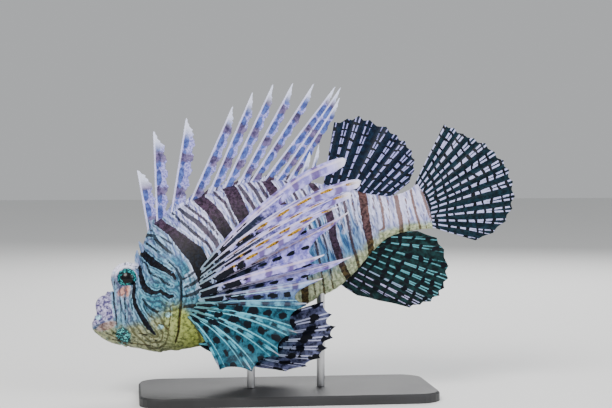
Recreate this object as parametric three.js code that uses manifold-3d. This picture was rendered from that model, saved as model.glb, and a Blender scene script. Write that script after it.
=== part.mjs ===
// Red lionfish, life size, still, on a display stand. Millimetres, +Z up, head towards -X,
// the fish's left side towards -Y, origin at the middle of the stand's underside.
//
// The fish is first built straight: s runs back from the tip of the snout, u runs up, w runs
// out to the fish's left. bend() then curves it as its backbone bends, and the group that holds
// the fish banks, pitches and lifts it over the stand.
import * as THREE from "three";
import { mergeVertices } from "three/addons/utils/BufferGeometryUtils.js";
import Module from "manifold-3d";

// Driving dimensions
const posture = { pitch: 17.4, bank: 9, headTurn: 1, tailTurn: -3, turnFrom: 45, turnTo: 205 };
const hang = { pivot: 120, x: -8, y: 4, z: 86 };
const gap = 0.3;
const around = 28;

// Girth of the body: [s, back, belly, half width]
const girth = [
  [-2, -1.5, -8, 3.5], [1, 2, -12.5, 6], [5, 7.5, -16.6, 8], [9, 12.2, -19.6, 9.6],
  [13.5, 14.2, -22.2, 11], [18, 14.4, -24.6, 12.2], [24, 19, -27.5, 13.4], [31, 24.5, -30.4, 14.8],
  [38, 29.5, -33, 16.6], [44, 37.5, -34.6, 18.2], [50, 45, -35.6, 19.4], [56, 48.4, -36.3, 20],
  [68, 51.4, -37.8, 20.6], [82, 54.4, -38.6, 20.4], [104, 56, -37.6, 18.8], [122, 54.4, -34.8, 16.6],
  [139, 50, -31, 14], [154, 44.8, -28.5, 11.6], [168, 37.6, -22.5, 9.4], [183, 29.4, -13.5, 7.6],
  [195, 22.2, -8, 6.2], [206, 17.6, -7.6, 5.2], [216, 17.2, -9, 4.4], [226, 19.8, -11.3, 3],
];

// Eye, lid and face
const eye = { s: 27.4, u: 18.6, w: 5.6, radius: 8, inner: 1.8 };
const orbit = { length: 10.5, height: 10.4, width: 6.8, w: 4.2 };
const lidRing = { radius: 7.3, thick: 1.5, w: 9.9 };
const lowLid = { s: 25.3, u: 11.4, w: 6.6, radius: 6.2 };
const headSpikes = [[36.4, 25.6, 6, 2.4, 8.5, 2.6], [42.5, 33.5, 5.5, -1, 5.5, 2], [37, 3, 14.5, 15, -4, 2]];
const lip = { radius: 1.5, depth: 0.93, line: [[-1.2, -3.6], [2, -4.9], [5, -6.6], [8, -9.8], [10.6, -13.4]] };
const nostril = { s: 13.5, u: 11.2, w: 3.4, radius: 1.5, bore: 0.8, tall: 2.2 };
const mouthLine = [[-7, -2.4], [-1, -3.8], [4.5, -6], [8, -9.8], [11, -14], [17, -20], [26, -44]];
const gillLine = [[40, 70], [46, 44], [55, 26], [58.5, 9], [54.5, -5], [48, -22], [42, -50]];
const gillCover = { front: 36, high: 14, low: -22, depth: 9 };
const stalkLine = [[189, 60], [193, 20], [193, -8], [190, -40]];

// Spines of the first dorsal fin: [root s, root u, lean, length, banner width]
const dorsalSpines = [
  [49.3, 43.3, 78, 40, 4.6], [55.3, 44.1, 74.5, 63.5, 5.2], [65.5, 47.7, 63.5, 66.5, 5.6],
  [78.4, 51.2, 48.5, 72.5, 5.4], [91.2, 52.2, 49, 77, 5.2], [102.2, 53.5, 47, 79, 5],
  [110.9, 52.2, 44, 80.5, 4.8], [119.2, 52, 39.5, 81, 4.4], [127.1, 50.1, 35, 82.5, 4.2],
  [135.6, 47.9, 37.5, 78.5, 3.8], [143.4, 46, 40, 67.5, 3.4], [149.9, 42.9, 50.5, 24, 2.4],
  [156.1, 40.1, 56, 29, 1.8],
];

// The other fins: root line, then for each ray its lean, its length and its turn along the way.
// Angles are up from the line running straight back; out is how far the tip stands out sideways.
const softDorsal = {
  root: [[165.6, 36.3], [203.6, 16]], join: 0.86,
  lean: [62, 57.5, 54.5, 50.5, 42, 36.5, 33, 28, 25, 22, 20],
  length: [44, 48, 51.5, 50.5, 50, 47.5, 45.5, 41.5, 36, 28.5, 18],
};
const caudal = {
  root: [[221.5, 18], [222.8, -8.6]], join: 0.9,
  lean: [45.5, 39, 33, 27, 21.5, 15.5, 10, 5.5, 0, -7, -12.5, -19, -26.5, -35],
  length: [47, 49.5, 51, 54.5, 58.5, 60.5, 63, 63.5, 63, 61.5, 58, 52.5, 44, 32.5],
};
const anal = {
  root: [[155.3, -25.3], [196.1, -4.3]], join: 0.84,
  lean: [-51.5, -49.5, -46.5, -45.5, -44.5, -42.5, -40.5, -37.5, -33, -25, -19, -15.5],
  length: [15, 28, 46.5, 50.5, 54.5, 56.5, 56, 54.5, 50.5, 43.5, 35.5, 20],
};
const pectoral = {
  root: [[67.5, 5], [56.5, -16.5]], join: 0.42, sink: 4,
  lean: [32.5, 25.5, 19.5, 15, 11, 5, 0, -5.5, -11.5, -17.5, -24, -34, -44, -66],
  turn: [-22, -25, -16, -10, -3, 4, -7, 0, 2, -5, -19, -25, -36, -25],
  length: [115, 120, 112, 103, 87, 109, 86, 103, 83, 73, 70, 64, 55, 40],
  out: [38, 40, 42, 44, 45, 46, 46, 46, 45, 44, 42, 39, 34, 26],
};
const pelvic = {
  root: [[60.5, -32.5], [58, -35.5]], join: 0.8, sink: 3,
  lean: [-2, -12, -16, -20, -26, -32, -36.5, -41, -48],
  turn: [1, 9, 7, 6, 10, 13, 12, 10, 18],
  length: [83, 86.5, 87, 85, 82.5, 78.5, 70, 58, 43],
  out: [22, 23, 23, 24, 24, 24, 24, 23, 22],
};
const farPectoral = { lean: 14, fan: -46, reach: 0.84, out: 34 };
const farPelvic = { reach: 0.84, out: 0.8 };

// Stand
const standBase = { length: 190, depth: 84, thick: 6, corner: 16, bevel: 1.2 };
const rods = { radius: 2.6, front: { s: 92, w: 3 }, rear: { s: 142, w: 2 } };

const rad = (degrees) => degrees * Math.PI / 180;
const mix = (a, b, t) => a + (b - a) * t;
const ease = (t) => {
  const k = Math.min(1, Math.max(0, t));
  return k * k * (3 - 2 * k);
};

// A smooth value read from column k of a table whose first column rises
function along(table, s, k) {
  const last = table.length - 1;
  let i = 0;
  while (i < last - 1 && s > table[i + 1][0]) i += 1;
  const [a, b] = [table[i], table[i + 1]];
  const slope = (j) => {
    const p = table[Math.max(0, j - 1)];
    const q = table[Math.min(last, j + 1)];
    return (q[k] - p[k]) / (q[0] - p[0]);
  };
  const h = b[0] - a[0];
  const t = Math.min(1, Math.max(0, (s - a[0]) / h));
  const bend = (t * t * t - 2 * t * t + t) * h * slope(i) + (t * t * t - t * t) * h * slope(i + 1);
  return mix(a[k], b[k], t * t * (3 - 2 * t)) + bend;
}

// The bend of the spine seen from above, added up in small steps
const heading = (s) => {
  const t = ease((s - posture.turnFrom) / (posture.turnTo - posture.turnFrom));
  return rad(mix(posture.headTurn, posture.tailTurn, t));
};
const spineStep = 1;
const spineFrom = -60;
const spine = [[0, 0]];
for (let i = 1; i <= 420; i += 1) {
  const [x, y] = spine[i - 1];
  const a = heading(spineFrom + (i - 0.5) * spineStep);
  spine.push([x + Math.cos(a) * spineStep, y + Math.sin(a) * spineStep]);
}
function spineAt(s) {
  const t = Math.min(419.999, Math.max(0, (s - spineFrom) / spineStep));
  const i = Math.floor(t);
  return [mix(spine[i][0], spine[i + 1][0], t - i), mix(spine[i][1], spine[i + 1][1], t - i)];
}

// From straight fish coordinates to the bent fish, whose pivot is the group's own origin
function bend(s, u, w) {
  const a = heading(s);
  const [x, y] = spineAt(s);
  const [px, py] = spineAt(hang.pivot);
  return [x - px + w * Math.sin(a), y - py - w * Math.cos(a), u];
}

// Closed solids, from points and triangles or from a geometry put in place by a matrix
const wasm = await Module();
wasm.setup();
const { Manifold, Mesh } = wasm;

function solid(points, faces) {
  const mesh = new Mesh({
    numProp: 3, vertProperties: new Float32Array(points.flat()), triVerts: new Uint32Array(faces.flat()),
  });
  return new Manifold(mesh);
}

function solidOf(source, matrix) {
  const geometry = source.clone();
  geometry.deleteAttribute("normal");
  geometry.deleteAttribute("uv");
  geometry.applyMatrix4(matrix);
  const merged = mergeVertices(geometry, 1e-4);
  const vertProperties = new Float32Array(merged.attributes.position.array);
  return new Manifold(new Mesh({ numProp: 3, vertProperties, triVerts: new Uint32Array(merged.index.array) }));
}

function mapped(body, change) {
  const mesh = body.getMesh();
  const p = mesh.vertProperties;
  const points = [];
  for (let i = 0; i < p.length; i += 3) points.push(change(p[i], p[i + 1], p[i + 2]));
  const faces = [];
  for (let i = 0; i < mesh.triVerts.length; i += 3) faces.push([...mesh.triVerts.slice(i, i + 3)]);
  return solid(points, faces);
}

const shift = (x, y, z) => new THREE.Matrix4().makeTranslation(x, y, z);

function ball(at, size, segments) {
  const matrix = shift(...at).scale(new THREE.Vector3(...size));
  return solidOf(new THREE.SphereGeometry(1, segments, segments / 2), matrix);
}

// The largest single piece left by a cut
function largest(body) {
  const pieces = body.decompose();
  pieces.sort((a, b) => b.volume() - a.volume());
  return pieces[0];
}

// A sheet or block from a line in the side view, swept across from w0 to w1
function sweep(line, w0, w1, thickness) {
  const n = line.length;
  const normal = (i) => {
    const a = line[Math.max(0, i - 1)];
    const b = line[Math.min(n - 1, i + 1)];
    const l = Math.hypot(b[0] - a[0], b[1] - a[1]);
    return [-(b[1] - a[1]) / l, (b[0] - a[0]) / l];
  };
  const outline = [];
  for (let i = 0; i < n; i += 1) {
    const m = normal(i);
    outline.push([line[i][0] - m[0] * thickness / 2, line[i][1] - m[1] * thickness / 2]);
  }
  for (let i = n - 1; i >= 0; i -= 1) {
    const m = normal(i);
    outline.push([line[i][0] + m[0] * thickness / 2, line[i][1] + m[1] * thickness / 2]);
  }
  return prism(outline, w0, w1);
}

function prism(outline, w0, w1) {
  const shape = new THREE.Shape(outline.map(([s, u]) => new THREE.Vector2(s, u)));
  const geometry = new THREE.ExtrudeGeometry(shape, { depth: w1 - w0, bevelEnabled: false });
  return solidOf(geometry, shift(0, 0, w0));
}

// The body's section: the side is at 0 degrees, the back at 90, the belly at -90
function skin(s, angle, grow) {
  const back = along(girth, s, 1) + grow;
  const belly = along(girth, s, 2) - grow;
  const half = along(girth, s, 3) + grow;
  const middle = mix(belly, back, 0.45);
  const [c, d] = [Math.cos(angle), Math.sin(angle)];
  const fullness = d > 0 ? 1.16 : 0.86;
  const w = half * Math.sign(c) * Math.pow(Math.abs(c), fullness);
  const u = middle + (d > 0 ? back - middle : middle - belly) * d;
  return [s, u, w];
}

// How far out the skin lies at a point of the side view
function sideOf(s, u) {
  const back = along(girth, s, 1);
  const belly = along(girth, s, 2);
  const middle = mix(belly, back, 0.45);
  const d = Math.min(1, Math.abs(u - middle) / (u > middle ? back - middle : middle - belly));
  return along(girth, s, 3) * Math.pow(Math.sqrt(1 - d * d), u > middle ? 1.16 : 0.86);
}

function bodyBlank(grow) {
  const rows = [];
  for (let s = -2; s < 60; s += s < 10 ? 2 : 3.5) rows.push(s);
  for (let s = 64; s < 224; s += 8) rows.push(s);
  rows.push(226);
  const points = [];
  const faces = [];
  const stretch = (s) => (s - 112) * (1 + grow / 112) + 112;
  rows.forEach((s) => {
    for (let k = 0; k < around; k += 1) {
      const p = skin(s, 2 * Math.PI * k / around, grow);
      points.push([stretch(s), p[1], p[2]]);
    }
  });
  const front = points.push([stretch(-3.2), -4.8, 0]) - 1;
  const rear = points.push([stretch(227.5), 4.4, 0]) - 1;
  for (let i = 0; i + 1 < rows.length; i += 1) {
    for (let k = 0; k < around; k += 1) {
      const a = i * around + k;
      const b = i * around + (k + 1) % around;
      faces.push([a, b + around, b], [a, a + around, b + around]);
    }
  }
  const end = (rows.length - 1) * around;
  for (let k = 0; k < around; k += 1) {
    const k1 = (k + 1) % around;
    faces.push([front, k, k1], [rear, end + k1, end + k]);
  }
  return solid(points, faces);
}

// Rays with membrane between them. rays[i][j] is the middle of ray i at row j, with the widths
// of its front and rear edges and the half thickness of its crest. Rows up to join are shared.
function fan(rays, join, edge) {
  const n = rays.length;
  const rows = rays[0].length;
  const V = (p) => new THREE.Vector3(...p);
  const mid = rays.map((ray) => ray.map((r) => V(r.at)));
  const run = (i, j) => mid[i][Math.min(rows - 1, j + 1)].clone().sub(mid[i][Math.max(0, j - 1)]).normalize();
  const across = (i, j) => {
    const a = mid[Math.max(0, i - 1)][j];
    const b = mid[Math.min(n - 1, i + 1)][j];
    const t = run(i, j);
    const d = b.clone().sub(a);
    return d.sub(t.multiplyScalar(d.dot(t))).normalize();
  };
  const points = [];
  const place = (p, normal, half) => {
    points.push([p.x + normal.x * half, p.y + normal.y * half, p.z + normal.z * half]);
    points.push([p.x - normal.x * half, p.y - normal.y * half, p.z - normal.z * half]);
    return points.length - 2;
  };
  const cols = [];
  for (let i = 0; i < n; i += 1) {
    const lo = [];
    const crest = [];
    const hi = [];
    for (let j = 0; j < rows; j += 1) {
      const d = across(i, j);
      const normal = run(i, j).cross(d).normalize();
      const r = rays[i][j];
      crest.push(place(mid[i][j], normal, r.half));
      const room = (k) => (k < 0 || k >= n ? 99 : 0.42 * mid[i][j].distanceTo(mid[k][j]));
      const front = mid[i][j].clone().sub(d.clone().multiplyScalar(Math.min(r.front, room(i - 1))));
      const back = mid[i][j].clone().add(d.clone().multiplyScalar(Math.min(r.rear, room(i + 1))));
      const shared = j <= join;
      if (i > 0 && shared) lo.push(cols[i - 1].hi[j]);
      else lo.push(place(front, normal, Math.min(edge, r.half)));
      if (i < n - 1 && shared) {
        const between = mid[i][j].clone().lerp(mid[i + 1][j], 0.5);
        const d2 = across(i + 1, j);
        const n2 = run(i + 1, j).cross(d2).add(normal).normalize();
        hi.push(place(between, n2, edge));
      } else hi.push(place(back, normal, Math.min(edge, r.half)));
    }
    cols.push({ lo, crest, hi });
  }
  const faces = [];
  const sheet = (a, b) => {
    for (let j = 0; j + 1 < rows; j += 1) {
      faces.push([a[j], a[j + 1], b[j + 1]], [a[j], b[j + 1], b[j]]);
      faces.push([a[j] + 1, b[j + 1] + 1, a[j + 1] + 1], [a[j] + 1, b[j] + 1, b[j + 1] + 1]);
    }
  };
  const wall = (a, b) => faces.push([a, b, b + 1], [a, b + 1, a + 1]);
  cols.forEach(({ lo, crest, hi }, i) => {
    sheet(lo, crest);
    sheet(crest, hi);
    wall(lo[0], crest[0]);
    wall(crest[0], hi[0]);
    wall(crest[rows - 1], lo[rows - 1]);
    wall(hi[rows - 1], crest[rows - 1]);
    for (let j = 0; j + 1 < rows; j += 1) {
      if (i === 0 || j >= join) wall(lo[j + 1], lo[j]);
      if (i === n - 1 || j >= join) wall(hi[j], hi[j + 1]);
    }
  });
  return solid(points, faces);
}

// The way a bent ray runs in the side view
function bent(root, lean, turn, length, t) {
  const a = rad(lean);
  const k = rad(turn);
  if (Math.abs(k) < 0.001) return [root[0] + Math.cos(a) * length * t, root[1] + Math.sin(a) * length * t];
  const r = length / k;
  return [root[0] + r * (Math.sin(a + k * t) - Math.sin(a)), root[1] - r * (Math.cos(a + k * t) - Math.cos(a))];
}

function middleFin(fin, rows, crest) {
  const rays = fin.lean.map((lean, i) => {
    const t = i / (fin.lean.length - 1);
    const root = [mix(fin.root[0][0], fin.root[1][0], t), mix(fin.root[0][1], fin.root[1][1], t)];
    return Array.from({ length: rows + 1 }, (_, j) => {
      const f = j < rows ? fin.join * j / (rows - 1) : 1;
      const [s, u] = bent(root, lean, 0, fin.length[i], f);
      const width = j === rows ? 0.35 : 1;
      return { at: [s, u, 0], front: width, rear: width, half: mix(crest, 0.45, f) };
    });
  });
  return fan(rays, rows - 1, 0.32);
}

function spinyFin(rows, crest) {
  const rays = dorsalSpines.map(([s, u, lean, length, banner]) => {
    const ahead = (banner - 1.3) / 2;
    const root = [s - ahead * Math.sin(rad(lean)), u + ahead * Math.cos(rad(lean))];
    return Array.from({ length: rows + 1 }, (_, j) => {
      const f = j === 0 ? 0 : mix(7 / length, 1, (j - 1) / (rows - 1));
      const [a, b] = bent(root, lean, 0, length, f);
      const wide = j === rows ? 0.45 : 1;
      const rear = wide * banner * (0.75 + 0.25 * Math.sin(Math.PI * f));
      return { at: [a, b, 0], front: wide * mix(1.3, 0.7, f), rear, half: mix(crest, 0.5, f) };
    });
  });
  return fan(rays, 1, 0.35);
}

// A paired fin of the left side; the roots lie on the skin and the rays stand out from it
function pairedFin(fin, rows, joinRow, rootW, crest, edge) {
  const rays = fin.lean.map((lean, i) => {
    const t = i / (fin.lean.length - 1);
    const root = [mix(fin.root[0][0], fin.root[1][0], t), mix(fin.root[0][1], fin.root[1][1], t)];
    return Array.from({ length: rows + 1 }, (_, j) => {
      const f = j / rows;
      const share = j <= joinRow ? fin.join * j / joinRow : mix(fin.join, 1, (j - joinRow) / (rows - joinRow));
      const [s, u] = bent(root, lean, fin.turn[i], fin.length[i], share);
      const w = rootW - fin.sink + (fin.out[i] + fin.sink) * (1 - Math.pow(1 - share, 1.35));
      const wide = j === rows ? 0.5 : fin.blade(i, share);
      return { at: [s, u, w], front: wide, rear: wide, half: mix(crest, 0.45, f) };
    });
  });
  return fan(rays, joinRow, edge);
}

// Head, jaw, gill covers, trunk and tail stalk from one blank, parted by thin cuts
const blank = bodyBlank(0);
const blankWide = bodyBlank(gap);

function eyeBall(side, grow) {
  const r = eye.radius + grow;
  const ball1 = ball([eye.s, eye.u, side * eye.w], [r, r, r], 18);
  const near = eye.inner - grow;
  const slab = solidOf(new THREE.BoxGeometry(60, 60, 40), shift(eye.s, eye.u, side * (near + 20)));
  return ball1.intersect(slab);
}

// A lid: a ring lying on the orbit around the eye
function lid(side) {
  const turn = new THREE.Matrix4().makeRotationFromEuler(new THREE.Euler(rad(-6 * side), rad(8 * side), 0));
  const ring = new THREE.TorusGeometry(lidRing.radius, lidRing.thick, 6, 18);
  return solidOf(ring, shift(eye.s, eye.u, side * lidRing.w).multiply(turn));
}

// A straight bar between two points, tapering from radius ra to rb
function bar(a, b, ra, rb, n) {
  const from = new THREE.Vector3(...a);
  const to = new THREE.Vector3(...b);
  const way = to.clone().sub(from);
  const turn = new THREE.Quaternion().setFromUnitVectors(new THREE.Vector3(0, 1, 0), way.clone().normalize());
  const middle = from.clone().lerp(to, 0.5);
  const matrix = new THREE.Matrix4().compose(middle, turn, new THREE.Vector3(1, 1, 1));
  return solidOf(new THREE.CylinderGeometry(rb, ra, way.length(), n), matrix);
}

let face = blank;
for (const side of [1, -1]) {
  face = face.add(ball([eye.s, eye.u, side * orbit.w], [orbit.length, orbit.height, orbit.width], 18));
  const pouch = lowLid.radius;
  face = face.add(ball([lowLid.s, lowLid.u, side * lowLid.w], [pouch, pouch, pouch], 14));
  face = face.add(lid(side));
  for (const [s, u, w, ds, du, r] of headSpikes) {
    face = face.add(bar([s, u, side * w], [s + ds, u + du, side * (w + 1)], r, 0.5, 8));
  }
  for (let i = 0; i + 1 < lip.line.length; i += 1) {
    const [p, q] = [lip.line[i], lip.line[i + 1]].map(([s, u]) => [s, u, side * sideOf(s, u) * lip.depth]);
    face = face.add(bar(p, q, lip.radius, lip.radius * 0.9, 6));
  }
  const hole = [nostril.s, nostril.u, side * nostril.w];
  const rim = [hole[0] - nostril.tall * 0.5, hole[1] + nostril.tall, hole[2] + side * 0.9];
  face = face.add(bar(hole, rim, nostril.radius * 1.5, nostril.radius, 8));
  const inner = hole.map((v, i) => mix(rim[i], v, 0.8));
  const outer = hole.map((v, i) => mix(v, rim[i], 1.3));
  face = face.subtract(bar(inner, outer, nostril.bore * 0.6, nostril.bore, 6));
}
for (const side of [1, -1]) face = face.subtract(eyeBall(side, gap));

const gillCut = sweep(gillLine, -50, 50, gap);
const stalkCut = sweep(stalkLine, -50, 50, gap);
const mouthCut = sweep(mouthLine, -50, 50, 0.5);
const pieces = face.subtract(gillCut).subtract(stalkCut).subtract(mouthCut).decompose();
const middleOf = (body) => {
  const b = body.boundingBox();
  return (b.min[0] + b.max[0]) / 2;
};
pieces.sort((a, b) => b.volume() - a.volume());
const main = pieces.slice(0, 4).sort((a, b) => middleOf(a) - middleOf(b));
const [lowerJaw, headWhole, trunk, tailStalk] = main;

function coverBlock(side, grow) {
  const { front, high, low, depth } = gillCover;
  const outline = [
    [front - grow, low - grow], [70, low - grow], [70, high + grow], [front + 8, high + grow],
    [front - grow, high - 9 + grow],
  ];
  const w = depth - grow;
  return side > 0 ? prism(outline, w, 60) : prism(outline, -60, -w);
}
const coverLeft = largest(headWhole.intersect(coverBlock(1, 0)));
const coverRight = largest(headWhole.intersect(coverBlock(-1, 0)));
const head = largest(headWhole.subtract(coverBlock(1, gap)).subtract(coverBlock(-1, gap)));

const trimmed = (fin) => largest(fin.subtract(blankWide));
pectoral.blade = (i, share) => (i < 5 ? mix(2, i === 0 ? 4.6 : 3.4, Math.sin(Math.PI * share)) : 1.7);
pelvic.blade = () => 1.1;
const pectoralLeft = trimmed(pairedFin(pectoral, 6, 2, 20, 1.2, 0.4));
const pelvicLeft = trimmed(pairedFin(pelvic, 5, 4, 9, 1.1, 0.35));
const farRays = pectoral.lean.map((_, i) => mix(farPectoral.lean, farPectoral.lean + farPectoral.fan, i / 13));
const farSide = {
  ...pectoral, lean: farRays, turn: farRays.map(() => -4),
  length: pectoral.length.map((l, i) => farPectoral.reach * mix(108, 70, i / 13)),
  out: pectoral.out.map(() => farPectoral.out),
};
const farBelow = {
  ...pelvic, length: pelvic.length.map((l) => l * farPelvic.reach), out: pelvic.out.map((l) => l * farPelvic.out),
};
function flip(fin) {
  const mesh = fin.getMesh();
  const points = [];
  for (let i = 0; i < mesh.vertProperties.length; i += 3) {
    const [s, u, w] = mesh.vertProperties.slice(i, i + 3);
    points.push([s, u, -w]);
  }
  const faces = [];
  for (let i = 0; i < mesh.triVerts.length; i += 3) {
    const [a, b, c] = mesh.triVerts.slice(i, i + 3);
    faces.push([a, c, b]);
  }
  return solid(points, faces);
}
const pectoralRight = trimmed(flip(pairedFin(farSide, 6, 2, 20, 1.2, 0.4)));
const pelvicRight = trimmed(flip(pairedFin(farBelow, 5, 4, 9, 1.1, 0.35)));

// Stand, in place in the room
function standPlate() {
  const { length, depth, thick, corner, bevel } = standBase;
  const outline = (inset) => {
    const pts = [];
    for (const [sx, sy, from] of [[1, 1, 0], [-1, 1, 90], [-1, -1, 180], [1, -1, 270]]) {
      for (let k = 0; k <= 6; k += 1) {
        const a = rad(from + 15 * k);
        pts.push([sx * (length / 2 - corner) + (corner - inset) * Math.cos(a),
          sy * (depth / 2 - corner) + (corner - inset) * Math.sin(a)]);
      }
    }
    return pts;
  };
  const rings = [[0, 0], [0, thick - bevel], [bevel, thick]];
  const n = outline(0).length;
  const points = rings.flatMap(([inset, z]) => outline(inset).map(([x, y]) => [x, y, z]));
  const faces = [];
  for (let r = 0; r < 2; r += 1) {
    for (let k = 0; k < n; k += 1) {
      const a = r * n + k;
      const b = r * n + (k + 1) % n;
      faces.push([a, b, b + n], [a, b + n, a + n]);
    }
  }
  const low = points.push([0, 0, 0]) - 1;
  const high = points.push([0, 0, thick]) - 1;
  for (let k = 0; k < n; k += 1) {
    faces.push([low, (k + 1) % n, k], [high, 2 * n + k, 2 * n + (k + 1) % n]);
  }
  return solid(points, faces);
}

// The fish hangs in a group of its own; the stand stays level
const fish = new THREE.Group();
fish.position.set(hang.x, hang.y, hang.z);
fish.rotation.set(rad(-posture.bank), rad(-posture.pitch), 0, "YXZ");
fish.updateMatrix();

const bent0 = (body) => mapped(body, bend);
const fishSkin = bent0(bodyBlank(gap));
const inRoom = (x, y, z) => new THREE.Vector3(x, y, z).applyMatrix4(fish.matrix).toArray();
const skinInRoom = mapped(fishSkin, inRoom);

// A rod in its own coordinates, from the plate up to the belly, and the foot it stands on
function rod({ s, w }) {
  const [x, y, z] = inRoom(...bend(s, along(girth, s, 2), w));
  const foot = [x, y, standBase.thick + gap];
  const height = z + 8 - foot[2];
  const shaft = new THREE.CylinderGeometry(rods.radius, rods.radius, height, 24);
  const upright = new THREE.Matrix4().makeRotationX(Math.PI / 2);
  const place = shift(x, y, foot[2] + height / 2).multiply(upright);
  const cutShaft = largest(solidOf(shaft, place).subtract(skinInRoom));
  return [mapped(cutShaft, (a, b, c) => [a - foot[0], b - foot[1], c - foot[2]]), foot];
}

const finish = {
  skin: new THREE.MeshStandardMaterial({ color: 0x7f8aa0, roughness: 0.45, metalness: 0 }),
  jaw: new THREE.MeshStandardMaterial({ color: 0x8f8f55, roughness: 0.5, metalness: 0 }),
  eye: new THREE.MeshStandardMaterial({ color: 0x0e4c50, roughness: 0.12, metalness: 0 }),
  spine: new THREE.MeshStandardMaterial({ color: 0x8d84ab, roughness: 0.5, metalness: 0 }),
  fin: new THREE.MeshStandardMaterial({ color: 0x24354c, roughness: 0.4, metalness: 0 }),
  longFin: new THREE.MeshStandardMaterial({ color: 0x76839c, roughness: 0.45, metalness: 0 }),
  plate: new THREE.MeshStandardMaterial({ color: 0x141415, roughness: 0.6, metalness: 0 }),
  rod: new THREE.MeshStandardMaterial({ color: 0x9c9ea3, roughness: 0.32, metalness: 1 }),
};

function part(name, body, material, at = [0, 0, 0]) {
  const mesh = body.getMesh();
  const geometry = new THREE.BufferGeometry();
  geometry.setAttribute("position", new THREE.BufferAttribute(new Float32Array(mesh.vertProperties), 3));
  geometry.setIndex(new THREE.BufferAttribute(new Uint32Array(mesh.triVerts), 1));
  geometry.computeVertexNormals();
  const piece = new THREE.Mesh(geometry, material);
  piece.name = name;
  piece.position.set(...at);
  return piece;
}

fish.add(part("head", bent0(head), finish.skin));
fish.add(part("lower_jaw", bent0(lowerJaw), finish.jaw));
fish.add(part("gill_cover_left", bent0(coverLeft), finish.skin));
fish.add(part("gill_cover_right", bent0(coverRight), finish.skin));
fish.add(part("trunk", bent0(trunk), finish.skin));
fish.add(part("tail_stalk", bent0(tailStalk), finish.skin));
fish.add(part("eye_left", bent0(eyeBall(1, 0)), finish.eye));
fish.add(part("eye_right", bent0(eyeBall(-1, 0)), finish.eye));
fish.add(part("spiny_dorsal_fin", bent0(trimmed(spinyFin(4, 1.3))), finish.spine));
fish.add(part("soft_dorsal_fin", bent0(trimmed(middleFin(softDorsal, 4, 1))), finish.fin));
fish.add(part("caudal_fin", bent0(trimmed(middleFin(caudal, 4, 1))), finish.fin));
fish.add(part("anal_fin", bent0(trimmed(middleFin(anal, 4, 1))), finish.fin));
fish.add(part("pectoral_fin_left", bent0(pectoralLeft), finish.longFin));
fish.add(part("pectoral_fin_right", bent0(pectoralRight), finish.longFin));
fish.add(part("pelvic_fin_left", bent0(pelvicLeft), finish.longFin));
fish.add(part("pelvic_fin_right", bent0(pelvicRight), finish.longFin));

const stand = new THREE.Group();
stand.add(part("stand_base", standPlate(), finish.plate));
stand.add(part("stand_rod_front", ...[rod(rods.front)].flatMap(([b, at]) => [b, finish.rod, at])));
stand.add(part("stand_rod_rear", ...[rod(rods.rear)].flatMap(([b, at]) => [b, finish.rod, at])));

const group = new THREE.Group();
group.name = "red_lionfish";
group.add(fish, stand);
export default group;
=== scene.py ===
# %% [markdown]
# # A lionfish on its stand
# This lesson dresses a life-size model of a red lionfish. The solids of the frame give every size and
# place, and here each one gets its real surface: striped skin, a glossy eye, banded fin rays and thin
# webs between them. All lengths in the tables are millimetres, and Blender's own unit is the metre.

# %% Load the frame
import math
import bpy
import numpy as np
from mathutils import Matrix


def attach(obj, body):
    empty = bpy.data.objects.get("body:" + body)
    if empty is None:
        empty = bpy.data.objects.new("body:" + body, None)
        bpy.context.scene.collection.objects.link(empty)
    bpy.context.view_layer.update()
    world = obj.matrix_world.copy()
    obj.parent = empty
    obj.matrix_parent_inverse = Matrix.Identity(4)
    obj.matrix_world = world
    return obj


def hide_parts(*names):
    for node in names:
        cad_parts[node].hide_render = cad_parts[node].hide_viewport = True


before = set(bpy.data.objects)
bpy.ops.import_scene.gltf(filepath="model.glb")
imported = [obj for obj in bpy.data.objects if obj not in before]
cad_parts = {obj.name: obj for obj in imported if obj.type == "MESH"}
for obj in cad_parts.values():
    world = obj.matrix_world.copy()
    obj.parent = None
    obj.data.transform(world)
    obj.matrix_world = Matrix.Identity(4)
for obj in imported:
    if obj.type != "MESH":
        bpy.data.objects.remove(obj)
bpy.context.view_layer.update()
bpy.ops.object.select_all(action="DESELECT")

# %% [markdown]
# ## The camera
# The photograph was taken level with the fish from a little ahead of its side, with a long lens. A long
# lens keeps the near fins from growing larger than the far ones. The camera is placed by two angles and a
# distance from the middle of the picture, so that moving it later is a matter of one number.

# %% Camera
turn, lift, reach = math.radians(-7), math.radians(2), 0.93528
aim = np.array([0.01299, 0.00275, 0.123735])
away = np.array([math.sin(turn) * math.cos(lift), -math.cos(turn) * math.cos(lift), math.sin(lift)])
eye_point = aim + away * reach
bpy.ops.object.camera_add(location=tuple(eye_point))
camera = bpy.context.object
camera.rotation_euler = (math.pi / 2 - lift, 0, turn)
camera.data.lens = 85
camera.data.sensor_width = 36
camera.data.clip_start = 0.05
bpy.context.scene.camera = camera
print("camera at", [round(float(c), 4) for c in eye_point])

# %% [markdown]
# ## The pose
# A fish is easiest to shape while it swims straight ahead. Each point is given as s, the way back from
# the snout, u, the way up, and w, the way out to its left side. One function then bends the spine a
# little, banks the body, tips the nose down and puts it over the stand. Using the same function for
# every piece keeps eyes, fins and skin together.

# %% Pose a point
bend_start, bend_length, pivot = 45, 160, 120
over_stand = np.array([-8, 4, 86])


def heading(s):
    t = np.clip((np.asarray(s, float) - bend_start) / bend_length, 0, 1)
    return np.radians(1 - 4 * t * t * (3 - 2 * t))


spine_s = np.arange(-60, 361, 1.0)
step_angle = heading(spine_s[:-1] + 0.5)
spine_x = np.concatenate([[0], np.cumsum(np.cos(step_angle))])
spine_y = np.concatenate([[0], np.cumsum(np.sin(step_angle))])
pitch, bank = math.radians(17.4), math.radians(9)


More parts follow.
